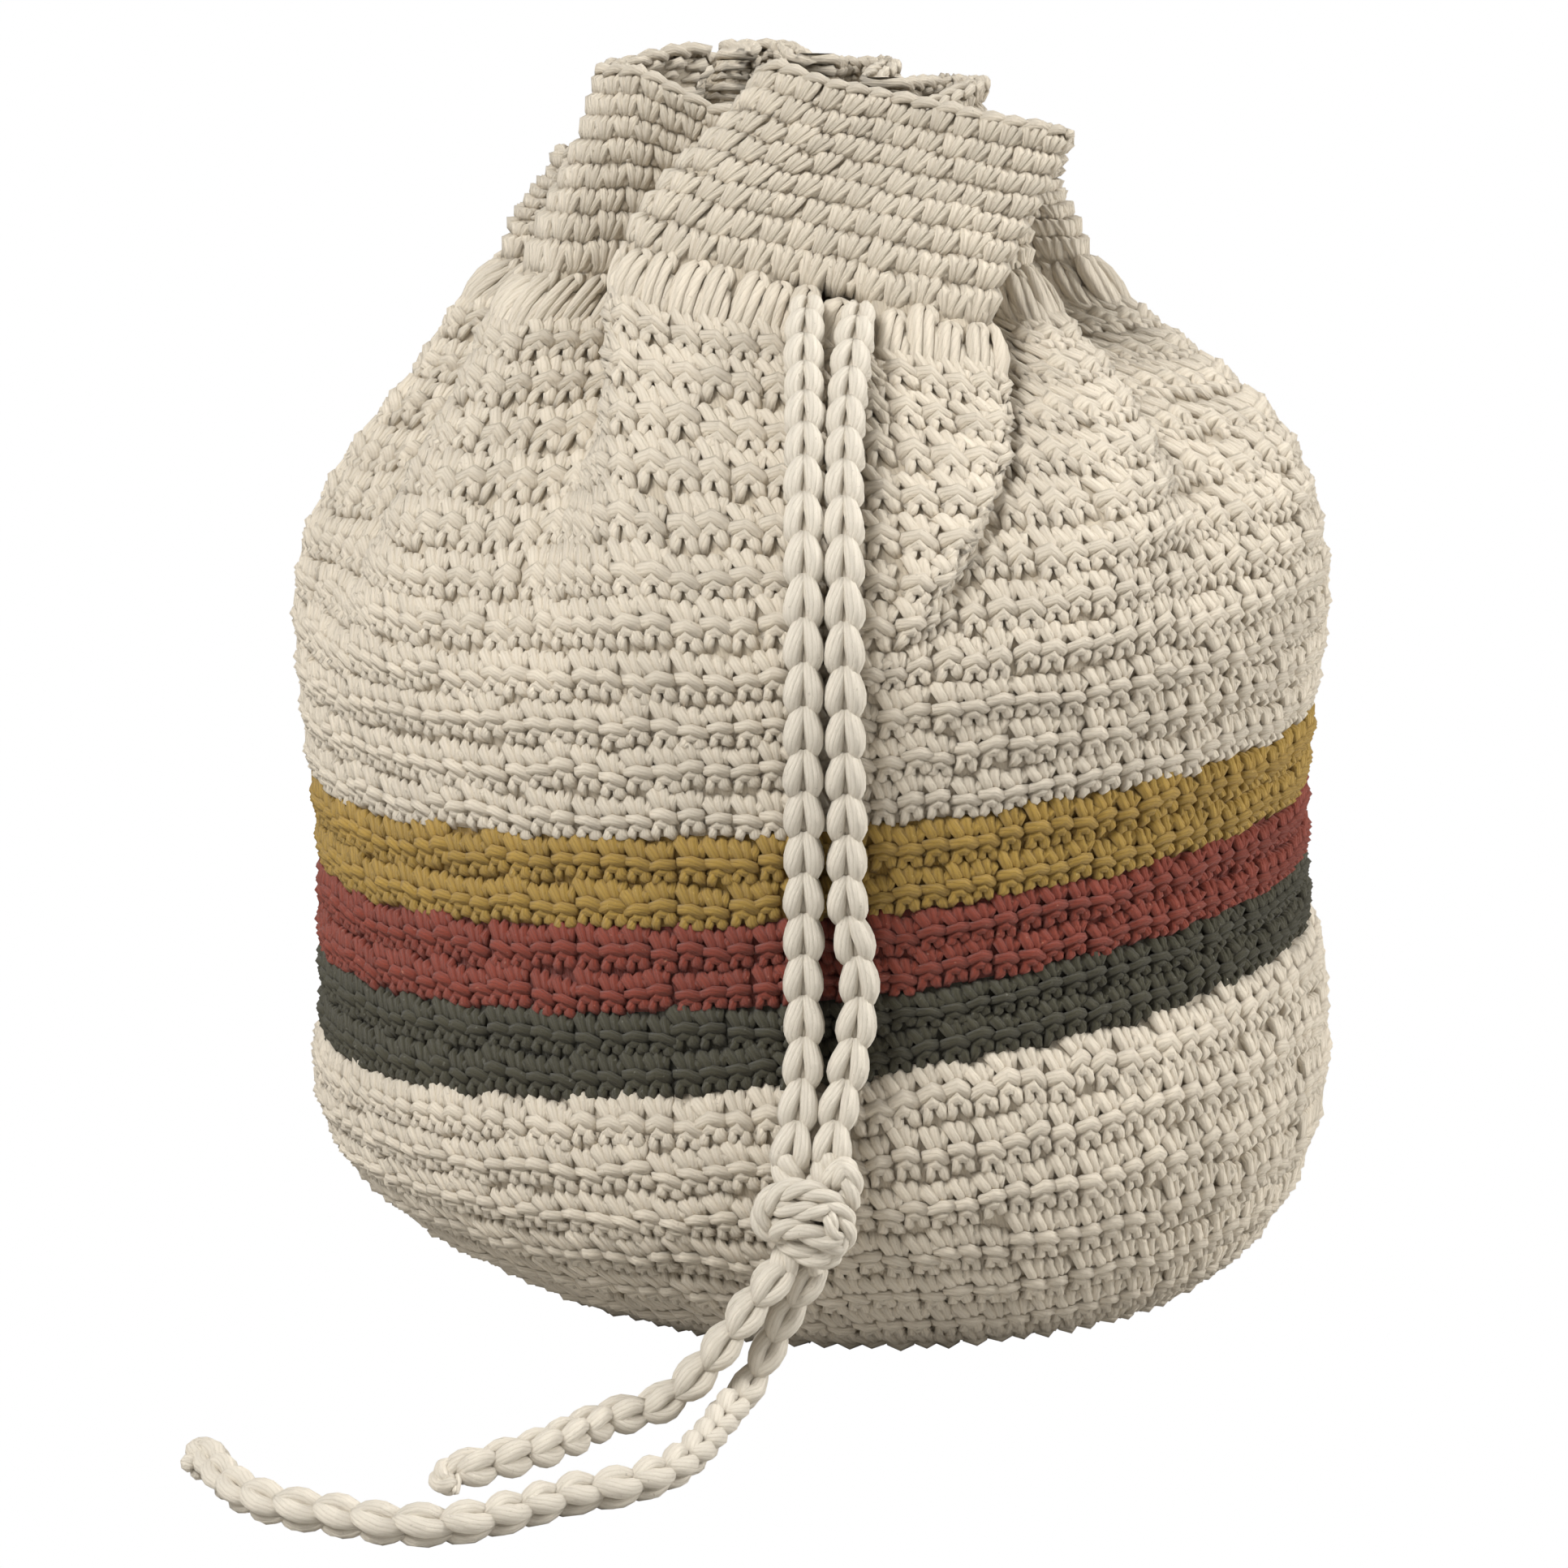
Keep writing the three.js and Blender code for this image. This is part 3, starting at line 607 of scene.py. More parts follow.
def stitch_mesh(kind: StitchKind) -> Mesh:
    """Model one stitch in its cell, its x and y in cells and its z in millimetres.

    Args:
        kind: The kind of stitch.

    Returns:
        The stitch as a mesh of closed strands.
    """
    width, height = CELL_SIZES[kind]
    parts = MeshParts()
    for index, strand in enumerate(STRANDS[kind]):
        path = smooth_path(np.array(strand.points) * (width, height, 1.0), STRAND_PIECES)
        steps = lengths_along(path)
        path = read_rows(np.linspace(0.0, steps[-1], strand.rings), steps, path)
        radii = strand.radius * (strand.taper + (1 - strand.taper) * swelling(strand.rings, strand.end))
        parts.add_tube(path, radii, strand.sides, index * STRAND_OFFSET, strand.flatness)
    mesh = parts.to_mesh(f"{kind.value}_stitch")
    for vertex in mesh.vertices:
        vertex.co.x /= width
        vertex.co.y /= height
    return mesh


class Graph:
    """A node tree being wired up."""

    def __init__(self, owner: ID) -> None:
        """Hold a node group, or the emptied tree of a material or world."""
        self.tree = owner
        if not isinstance(owner, NodeTree):
            owner.use_nodes = True
            self.tree = owner.node_tree
            self.tree.nodes.clear()

    def node(self, kind: str, inputs: dict | None = None, **settings: object) -> Node:
        """Add a node.

        Args:
            kind: Its type.
            inputs: Values or sockets for its inputs, by name or number.
            settings: Its own settings.

        Returns:
            The node.
        """
        node = self.tree.nodes.new(kind)
        for name, value in settings.items():
            setattr(node, name, value)
        for name, value in (inputs or {}).items():
            if isinstance(value, NodeSocket):
                self.tree.links.new(value, node.inputs[name])
            else:
                node.inputs[name].default_value = value
        return node

    def value(self, kind: str, inputs: dict | None = None, **settings: object) -> NodeSocket:
        """The first output of a new node."""
        return self.node(kind, inputs, **settings).outputs[0]

    def math(self, operation: str, a: object, b: object = 0.0, c: object = 0.0) -> NodeSocket:
        """The result of a Math node."""
        return self.value("ShaderNodeMath", {0: a, 1: b, 2: c}, operation=operation)

    def scaled(self, value: object, factor: object, offset: object = 0.0) -> NodeSocket:
        """A value times a factor, plus an offset."""
        return self.math("MULTIPLY_ADD", value, factor, offset)

    def vector(self, **axes: object) -> NodeSocket:
        """A vector from its axes."""
        return self.value("ShaderNodeCombineXYZ", axes)

    def noise(self, place: object, scale: float, detail: float, rough: float = 0.5) -> NodeSocket:
        """Noise between 0 and 1."""
        inputs = {"Vector": place, "Scale": scale, "Detail": detail, "Roughness": rough}
        return self.value("ShaderNodeTexNoise", inputs)

    def mixed(self, share: object, first: object, second: object, blend: str = "MIX") -> NodeSocket:
        """Two colours mixed by a share."""
        inputs = {0: share, "A": first, "B": second}
        return self.node("ShaderNodeMix", inputs, data_type="RGBA", blend_type=blend).outputs["Result"]

    def random(self, low: object, high: object, seed: object) -> NodeSocket:
        """Random numbers, one for each place."""
        inputs = {"Min": low, "Max": high, "Seed": seed}
        outputs = self.node("FunctionNodeRandomValue", inputs, data_type="FLOAT").outputs
        return next(socket for socket in outputs if socket.type == "VALUE" and socket.enabled)

    def random_vectors(self, reach: object, seed: object) -> NodeSocket:
        """Random vectors between minus and plus a reach, one for each place."""
        low, high = (self.value("ShaderNodeVectorMath", {0: (sign, sign, sign), "Scale": reach},
                                operation="SCALE") for sign in (-1.0, 1.0))
        return self.value("FunctionNodeRandomValue", {0: low, 1: high, "Seed": seed},
                          data_type="FLOAT_VECTOR")

    def white_to_camera(self, unseen: object, white: object) -> NodeSocket:
        """One shader for the camera's rays and another for all the other light."""
        seen = self.node("ShaderNodeLightPath").outputs["Is Camera Ray"]
        return self.value("ShaderNodeMixShader", {0: seen, 1: unseen, 2: white})


@dataclass
class StitchRows:
    """A Geometry Nodes tree that sets one stitch at every place of a field of rows."""

    tree: NodeTree = field(init=False)

    def __post_init__(self) -> None:
        """Build the tree."""
        self.tree = bpy.data.node_groups.new("stitch_rows", "GeometryNodeTree")
        face = self.tree.interface
        for kind, names in (("Geometry", ["Stitch"]), ("Int", ["Columns", "Rows", "Seed"]),
                            ("Float", ["First Row", "Row Shift", "Wander", "Twist", "Size Range"]),
                            ("Float", ["Gap A", "Gap B"]), ("Material", ["Yarn"])):
            for name in names:
                face.new_socket(name, in_out="INPUT", socket_type=f"NodeSocket{kind}")
        face.new_socket("Cloth", in_out="OUTPUT", socket_type="NodeSocketGeometry")
        graph = Graph(self.tree)
        given = graph.node("NodeGroupInput").outputs
        stitches = self.stitches_on(graph, given, self.places(graph, given))
        tint = graph.random(0.0, 1.0, graph.math("ADD", given["Seed"], 3.0))
        tinted = graph.value("GeometryNodeStoreNamedAttribute", {
            "Geometry": stitches, "Name": "tint", "Value": tint,
        }, data_type="FLOAT", domain="INSTANCE")
        real = graph.value("GeometryNodeRealizeInstances", {"Geometry": tinted})
        dyed = graph.value("GeometryNodeSetMaterial", {"Geometry": real, "Material": given["Yarn"]})
        graph.node("NodeGroupOutput", {"Cloth": dyed})

    @staticmethod
    def places(graph: Graph, given: NodeOutputs) -> NodeSocket:
        """Lay out one point for each stitch, shifted row by row, with the gaps left out.

        Args:
            graph: The tree.
            given: The tree's named inputs.

        Returns:
            The points.
        """
        last_column, last_row = (graph.math("SUBTRACT", given[name], 1.0) for name in ("Columns", "Rows"))
        grid = graph.value("GeometryNodeMeshGrid", {
            "Size X": last_column, "Size Y": last_row,
            "Vertices X": given["Columns"], "Vertices Y": given["Rows"],
        })
        middle = graph.vector(X=graph.scaled(last_column, 0.5),
                              Y=graph.scaled(last_row, 0.5, given["First Row"]))
        placed = graph.value("GeometryNodeTransform", {"Geometry": grid, "Translation": middle})
        position = graph.value("GeometryNodeInputPosition")
        spot = graph.node("ShaderNodeSeparateXYZ", {0: position}).outputs
        gaps = [graph.math("COMPARE", spot["X"], given[name], 0.5) for name in ("Gap A", "Gap B")]
        open_field = graph.value("GeometryNodeDeleteGeometry", {
            "Geometry": placed, "Selection": graph.math("MAXIMUM", *gaps),
        })
        shift = graph.vector(X=graph.math("MULTIPLY", spot["Y"], given["Row Shift"]))
        wander = graph.random_vectors(given["Wander"], given["Seed"])
        offset = graph.value("ShaderNodeVectorMath", {0: shift, 1: wander}, operation="ADD")
        return graph.value("GeometryNodeSetPosition", {"Geometry": open_field, "Offset": offset})

    @staticmethod
    def stitches_on(graph: Graph, given: NodeOutputs, places: object) -> NodeSocket:
        """Set a stitch on each point, each a little turned and a little off in size.

        Args:
            graph: The tree.
            given: The tree's named inputs.
            places: The points.

        Returns:
            The stitches as instances.
        """
        turn_seed, size_seed = (graph.math("ADD", given["Seed"], step) for step in (1.0, 2.0))
        angle = graph.random(graph.math("MULTIPLY", given["Twist"], -1.0), given["Twist"], turn_seed)
        turn = graph.value("FunctionNodeEulerToRotation", {0: graph.vector(Z=angle)})
        sizes = graph.random_vectors(given["Size Range"], size_seed)
        scale = graph.value("ShaderNodeVectorMath", {0: sizes, 1: (1.0, 1.0, 1.0)}, operation="ADD")
        return graph.value("GeometryNodeInstanceOnPoints", {
            "Points": places, "Instance": given["Stitch"], "Rotation": turn, "Scale": scale,
        })

    def lay(self, stitch: Mesh, material: Material, **sizes: float) -> Mesh:
        """Lay a field of stitches out flat.

        Args:
            stitch: One stitch.
            material: The yarn's material.
            sizes: Values of the tree's named inputs, with underscores for spaces.

        Returns:
            The field as a plain mesh.
        """
        holder = add_object("stitch_holder", stitch)
        modifier = holder.modifiers.new("rows", "NODES")
        modifier.node_group = self.tree
        values = {name.replace("_", " ").title(): value for name, value in sizes.items()}
        values["Yarn"] = material
        for socket in self.tree.interface.items_tree:
            if socket.in_out == "INPUT" and socket.name in values:
                modifier[socket.identifier] = values[socket.name]
        holder.update_tag()
        bpy.context.view_layer.update()
        graph = bpy.context.evaluated_depsgraph_get()
        flat = bpy.data.meshes.new_from_object(holder.evaluated_get(graph), depsgraph=graph)
        holder.modifiers.remove(modifier)
        bpy.data.objects.remove(holder)
        return flat


def read_points(mesh: Mesh) -> Array:
    """The vertices of a mesh, one row each."""
    points = np.empty(len(mesh.vertices) * 3, dtype=np.float32)
    mesh.vertices.foreach_get("co", points)
    return points.reshape(-1, 3).astype(float)


def write_points(mesh: Mesh, points: Array) -> None:
    """Write the vertices of a mesh back, given in millimetres."""
    mesh.vertices.foreach_set("co", (points * MM).astype(np.float32).ravel())
    mesh.update()


def store_numbers(mesh: Mesh, name: str, values: Array) -> None:
    """Store one number at each vertex under a name."""
    layer = mesh.attributes.get(name) or mesh.attributes.new(name, "FLOAT", "POINT")
    layer.data.foreach_set("value", values.astype(np.float32))


def add_object(name: str, data: ID) -> Object:
    """Put a mesh, lamp or camera into the scene under a name."""
    thing = bpy.data.objects.new(name, data)
    bpy.context.scene.collection.objects.link(thing)
    return thing


def add_piece(name: str, mesh: Mesh, node: str) -> Object:
    """Put a finished piece into the scene.

    Args:
        name: The piece's name.
        mesh: Its mesh.
        node: The CAD node it stands for.

    Returns:
        The piece.
    """
    piece = add_object(name, mesh)
    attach(piece, BODY)
    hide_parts(node)
    LOG.info("%s: %d faces", name, len(mesh.polygons))
    return piece


@dataclass(frozen=True)
class Yarn:
    """A matt cotton yarn: its record slot, its lit colour on top, its colour in painted shade in the
    hollows and ply grooves, and its flecks.
    """

    name: str
    slot: str
    light: Point
    # Colour of the painted shade in the hollows between strands and in the grooves between plies
    painted_shade: Point
    fleck: Point
    twist: float = 0.22
    sheen: float = 0.15
    roughness: float = 0.92
    ply_edge: float = 0.55
    fibres: Point = (1.3, 62.0, 1.0)
    relief: float = 0.00045

    def material(self) -> Material:
        """Build the yarn's material from its strands' own texture places.

        Returns:
            A material with plies, fibres, flecks and painted shade in the hollows between strands and in
            the grooves between plies.
        """
        material = bpy.data.materials.new(self.name)
        graph = Graph(material)
        uv = graph.value("ShaderNodeUVMap", uv_map="strand")
        split = graph.node("ShaderNodeSeparateXYZ", {0: uv}).outputs
        place = graph.node("ShaderNodeTexCoord").outputs["Object"]
        swayed = graph.scaled(graph.noise(place, 260.0, 1.0), 0.5, graph.scaled(split["X"], self.twist))
        lines = graph.scaled(split["Y"], float(PLIES), swayed)
        wave = graph.math("ABSOLUTE", graph.math("SINE", graph.scaled(lines, math.pi)))
        ply = graph.math("POWER", wave, self.ply_edge)
        drawn_out = graph.value("ShaderNodeMapping", {"Vector": uv, "Scale": self.fibres})
        fibre = graph.noise(drawn_out, 1.5, 4.0, 0.65)
        grain = graph.noise(place, 900.0, 2.0)
        cloud = graph.noise(place, 22.0, 3.0)
        # depth is low where a strand lies deep in the cloth and drives the painted shade; tint is each
        # stitch's random tone
        depth, tint = (graph.node("ShaderNodeAttribute", attribute_name=name).outputs["Fac"]
                       for name in ("depth", "tint"))
        # Painted shade: ply grooves and low depth turn the lit colour towards the shaded colour; fibre
        # streaks are the yarn's texture
        threads = graph.scaled(ply, 0.50, graph.scaled(fibre, 1.5, -0.20))
        lit = graph.math("MULTIPLY", threads, graph.scaled(depth, 0.65, 0.35))
        lit.node.use_clamp = True
        colour = graph.mixed(lit, (*self.painted_shade, 1.0), (*self.light, 1.0))
        amount = graph.math("MULTIPLY", graph.scaled(tint, 0.10, 0.95), graph.scaled(cloud, 0.14, 0.93))
        grey = graph.value("ShaderNodeCombineColor", {0: amount, 1: amount, 2: amount})
        shaded = graph.mixed(1.0, colour, grey, "MULTIPLY")
        speckle = graph.value("ShaderNodeMapRange", {0: grain, 1: 0.68, 2: 0.78})
        flecked = graph.mixed(speckle, shaded, (*self.fleck, 1.0))
        height = graph.scaled(ply, 0.5, graph.scaled(fibre, 1.1))
        bump = graph.value("ShaderNodeBump", {"Height": height, "Strength": 1.0, "Distance": self.relief})
        cotton = graph.value("ShaderNodeBsdfPrincipled", {
            "Base Color": flecked, "Normal": bump, "Roughness": self.roughness,
            "Sheen Weight": self.sheen, "Sheen Roughness": 0.5, "Specular IOR Level": 0.2,
        })
        graph.node("ShaderNodeOutputMaterial", {"Surface": cotton})
        return material


# Each yarn: its lit colour, its colour in painted shade, and its fleck colour
NATURAL = Yarn("natural_yarn", "natural_cotton", (0.93, 0.83, 0.675), (0.72, 0.615, 0.46),
               (0.72, 0.62, 0.48))
MUSTARD = Yarn("mustard_yarn", "mustard_cotton", (0.52, 0.33, 0.070), (0.27, 0.15, 0.017),
               (0.66, 0.48, 0.16))
TERRACOTTA = Yarn("terracotta_yarn", "terracotta_cotton", (0.32, 0.061, 0.033), (0.155, 0.021, 0.011),
                  (0.52, 0.20, 0.13))
GREY_GREEN = Yarn("grey_green_yarn", "grey_green_cotton", (0.080, 0.073, 0.042), (0.031, 0.028, 0.014),
                  (0.21, 0.20, 0.155))
CORD_YARN = Yarn("cord_yarn", "cord_cotton", (0.94, 0.86, 0.725), (0.73, 0.64, 0.505), (0.74, 0.66, 0.54),
                 twist=0.16)
STRIPES = {
    "grey_green": (GREY_GREEN, GREEN_FROM), "terracotta": (TERRACOTTA, TERRACOTTA_FROM),
    "mustard": (MUSTARD, MUSTARD_FROM),
}


@dataclass
class CrochetCloth:
    """The bag's crocheted wall: its backing and every row of stitches on it, in millimetres."""

    cloth: Cloth
    rows: StitchRows
    materials: dict[str, Material]
    sink: float = 1.25
    base_sink: float = 2.2
    inside_sink: float = 0.6
    rim_sink: float = 0.4
    rim_reach: float = 0.2
    # Millimetres of strand height over which the painted shade in the hollows fades out
    relief: float = 1.2
    ground_gap: float = 0.05
    row_shift: float = 0.06
    wander: float = 0.07
    twist: float = 0.13
    size_range: float = 0.12
    seed: int = 11
    backing_columns: int = 186
    backing_rows: float = 2.5
    backing_sink: float = 1.15
    backing_lift: float = 0.2
    backing_below_rim: float = 0.2
    # The backing's low depth paints it in shade where it shows between the stitches
    backing_shade_depth: float = 0.12
    backing_tint: float = 0.5
    lining: float = 0.4
    centre: float = 0.3
    round_length: float = 11.0
    ring_samples: int = 97

    def stitches(self, name: str, yarn: Yarn, kind: StitchKind, first: int, last: int, node: str,
                 columns: int = COLUMNS, gaps: tuple[int, int] = (NO_GAP, NO_GAP)) -> Object:
        """Crochet the rounds from one to before another.

        Args:
            name: The piece's name.
            yarn: Its yarn.
            kind: Its kind of stitch.
            first: The first round.
            last: The round at which it ends.
            node: The CAD node it stands for.
            columns: Stitches in a round.
            gaps: Two columns left out.

        Returns:
            The piece.
        """
        flat = self.rows.lay(
            stitch_mesh(kind), self.materials[yarn.name], columns=columns, rows=last - first,
            first_row=float(first), row_shift=self.row_shift, wander=self.wander, twist=self.twist,
            size_range=self.size_range, seed=self.seed + first, gap_a=float(gaps[0]), gap_b=float(gaps[1]),
        )
        across, up, heights = read_points(flat).T
        turn = across / columns
        # Painted shade: strands low over the cloth get a low depth, which the yarn's material darkens as
        # shade in the hollows
        store_numbers(flat, "depth", np.clip((heights + self.relief) / (2 * self.relief), 0.0, 1.0))
        if kind is StitchKind.RIM_CHAIN:
            wrapped = self.over_the_rim(turn, up - first, heights)
        elif kind is StitchKind.INSIDE:
            wrapped = self.cloth.place(turn, up, self.inside_sink - WALL - heights)
        else:
            level = np.clip(up - BASE_EDGE, 0.0, 1.0)
            sink = self.base_sink + (self.sink - self.base_sink) * level
            wrapped = self.cloth.place(turn, up, heights - sink)
            wrapped[:, 2] = np.maximum(wrapped[:, 2], self.ground_gap)
        write_points(flat, wrapped)
        turn_outward(flat)
        return add_piece(name, flat, node)

    def over_the_rim(self, turn: Array, across: Array, heights: Array) -> Array:
        """Lay the rim's chain over the top edge, from the outer side to the inner side."""
        rounds = np.full_like(turn, float(RIM))
        up = np.array([0.0, 0.0, 1.0])
        outward = self.cloth.normal(turn, rounds)
        level = outward - up * outward[:, 2:3]
        level /= np.linalg.norm(level, axis=1, keepdims=True)
        out = level * (self.rim_reach - across * WALL)[:, None]
        return self.cloth.point(turn, rounds) + out + up * (heights - self.rim_sink)[:, None]

    def backing(self, name: str, yarn: Yarn, first: float, last: float, node: str) -> Object:
        """Make the closed sheet behind the stitches between two rounds, coloured with painted shade where
        it shows in the gaps.

        Args:
            name: The piece's name.
            yarn: Its yarn.
            first: The round it starts at, 0 for the middle of the base.
            last: The round it ends at.
            node: The CAD node it stands for.

        Returns:
            The piece.
        """
        start = max(first, self.centre)
        rounds = np.linspace(start, last, max(3, round((last - start) * self.backing_rows)))
        turns = np.arange(self.backing_columns) / self.backing_columns
        grid_turn, grid_round = (grid.ravel() for grid in np.meshgrid(turns, rounds))
        outer, inner = (self.cloth.place(grid_turn, grid_round, np.full(grid_turn.size, height))
                        for height in (-self.backing_sink, self.lining - WALL))
        closed_base = first <= 0
        if closed_base:
            outer[:, 2] = np.maximum(outer[:, 2], self.backing_lift)
        points = np.concatenate([outer, inner])
        mesh = bpy.data.meshes.new(name)
        mesh.from_pydata((points * MM).tolist(), [], self.backing_faces(rounds, turns, closed_base))
        layer = mesh.uv_layers.new(name="strand")
        corners = np.empty(len(mesh.loops), dtype=np.int32)
        mesh.loops.foreach_get("vertex_index", corners)
        places = np.stack([grid_round * self.round_length, grid_turn * COLUMNS], axis=-1)
        layer.data.foreach_set("uv", np.tile(places, (2, 1))[corners].astype(np.float32).ravel())
        # Painted shade: the backing takes mostly the yarn's shaded colour
        store_numbers(mesh, "depth", np.full(len(points), self.backing_shade_depth))
        store_numbers(mesh, "tint", np.full(len(points), self.backing_tint))
        turn_outward(mesh)
        mesh.materials.append(self.materials[yarn.name])
        return add_piece(name, mesh, node)

    def backing_faces(self, rounds: Array, turns: Array, closed_base: bool) -> list[tuple[int, ...]]:
        """Join an outer and an inner grid of points into a closed sheet with the cord's two holes.

        Args:
            rounds: The round of each row of the grid.
            turns: The turn of each column.
            closed_base: True where the sheet is closed in the middle of the base.

        Returns:
            The faces, with the inner grid's points counted after the outer ones.
        """
        rows, columns = len(rounds), len(turns)
        half = rows * columns
        pierced = {(r, c) for r in range(rows - 1) for c in range(columns)
                   if self.in_eyelet(rounds, turns, r, c)}
        faces = []
        for r in range(rows - 1):
            for c in range(columns):
                d = (c + 1) % columns
                a, b = r * columns + c, r * columns + d
                ring = (a, b, b + columns, a + columns)
                if (r, c) not in pierced:
                    faces += [ring, tuple(half + corner for corner in reversed(ring))]
                    continue
                sides = ((r - 1, c), (r, d), (r + 1, c), (r, (c - 1) % columns))
                for side, start, end in zip(sides, ring, ring[1:] + ring[:1]):
                    if side not in pierced:
                        faces.append((start, end, half + end, half + start))
        top = half - columns
        for c in range(columns):
            d = (c + 1) % columns
            faces.append((top + c, top + d, half + top + d, half + top + c))
            if not closed_base:
                faces.append((d, c, half + c, half + d))
        if closed_base:
            faces += [tuple(reversed(range(columns))), tuple(half + c for c in range(columns))]
        return faces

    @staticmethod
    def in_eyelet(rounds: Array, turns: Array, row: int, column: int) -> bool:
        """True where a panel of the backing lies in one of the cord's two holes."""
        middle = (rounds[row] + rounds[row + 1]) / 2
        place = (turns[column] + 0.5 / len(turns)) * COLUMNS
        across = (place + COLUMNS / 2) % COLUMNS - COLUMNS / 2
        return EYELET_ROUND < middle < EYELET_TOP and any(low < across < high for low, high in EYELETS)

    def round_columns(self, at_round: float) -> int:
        """How many stitches a round of the base and heel takes."""
        turns = np.linspace(0.0, 1.0, self.ring_samples)
        ring = self.cloth.point(turns, np.full(self.ring_samples, at_round + 0.5))
        return min(COLUMNS, round(float(lengths_along(ring)[-1]) / STITCH_PITCH))

    def build(self) -> None:
        """Crochet the whole bag, colour by colour."""
        self.backing("lower_backing", NATURAL, 0.0, GREEN_FROM, "lower_bag")
        for stripe, (yarn, first) in STRIPES.items():
            self.backing(f"{stripe}_backing", yarn, first, first + STRIPE_ROUNDS, f"{stripe}_band")
        self.backing("upper_backing", NATURAL, NATURAL_FROM, RIM - self.backing_below_rim, "upper_wall")
        plain = StitchKind.HALF_DOUBLE
        for number in range(HEEL_TOP):
            name = f"base_round_{number}" if number < BASE_EDGE else f"heel_round_{number}"
            self.stitches(name, NATURAL, plain, number, number + 1, "lower_bag", self.round_columns(number))
        self.stitches("lower_stitches", NATURAL, plain, HEEL_TOP, GREEN_FROM, "lower_bag")
        for stripe, (yarn, first) in STRIPES.items():
            self.stitches(f"{stripe}_stitches", yarn, plain, first, first + STRIPE_ROUNDS, f"{stripe}_band")
        for name, kind, first, last in (
            ("belly_stitches", plain, NATURAL_FROM, BELLY_TOP),
            ("shoulder_stitches", plain, BELLY_TOP, SHOULDER_TOP),
            ("neck_stitches", plain, SHOULDER_TOP, EYELET_ROUND),
            ("eyelet_stitches", StitchKind.TALL, EYELET_ROUND, COLLAR_FROM),
            ("collar_stitches", StitchKind.SINGLE, COLLAR_FROM, RIM),
            ("collar_inside_stitches", StitchKind.INSIDE, INSIDE_FROM, RIM),
            ("rim_chain", StitchKind.RIM_CHAIN, RIM, RIM + 1),
        ):
            gaps = EYELET_GAPS if kind is StitchKind.TALL else (NO_GAP, NO_GAP)
            self.stitches(name, NATURAL, kind, first, last, "upper_wall", gaps=gaps)


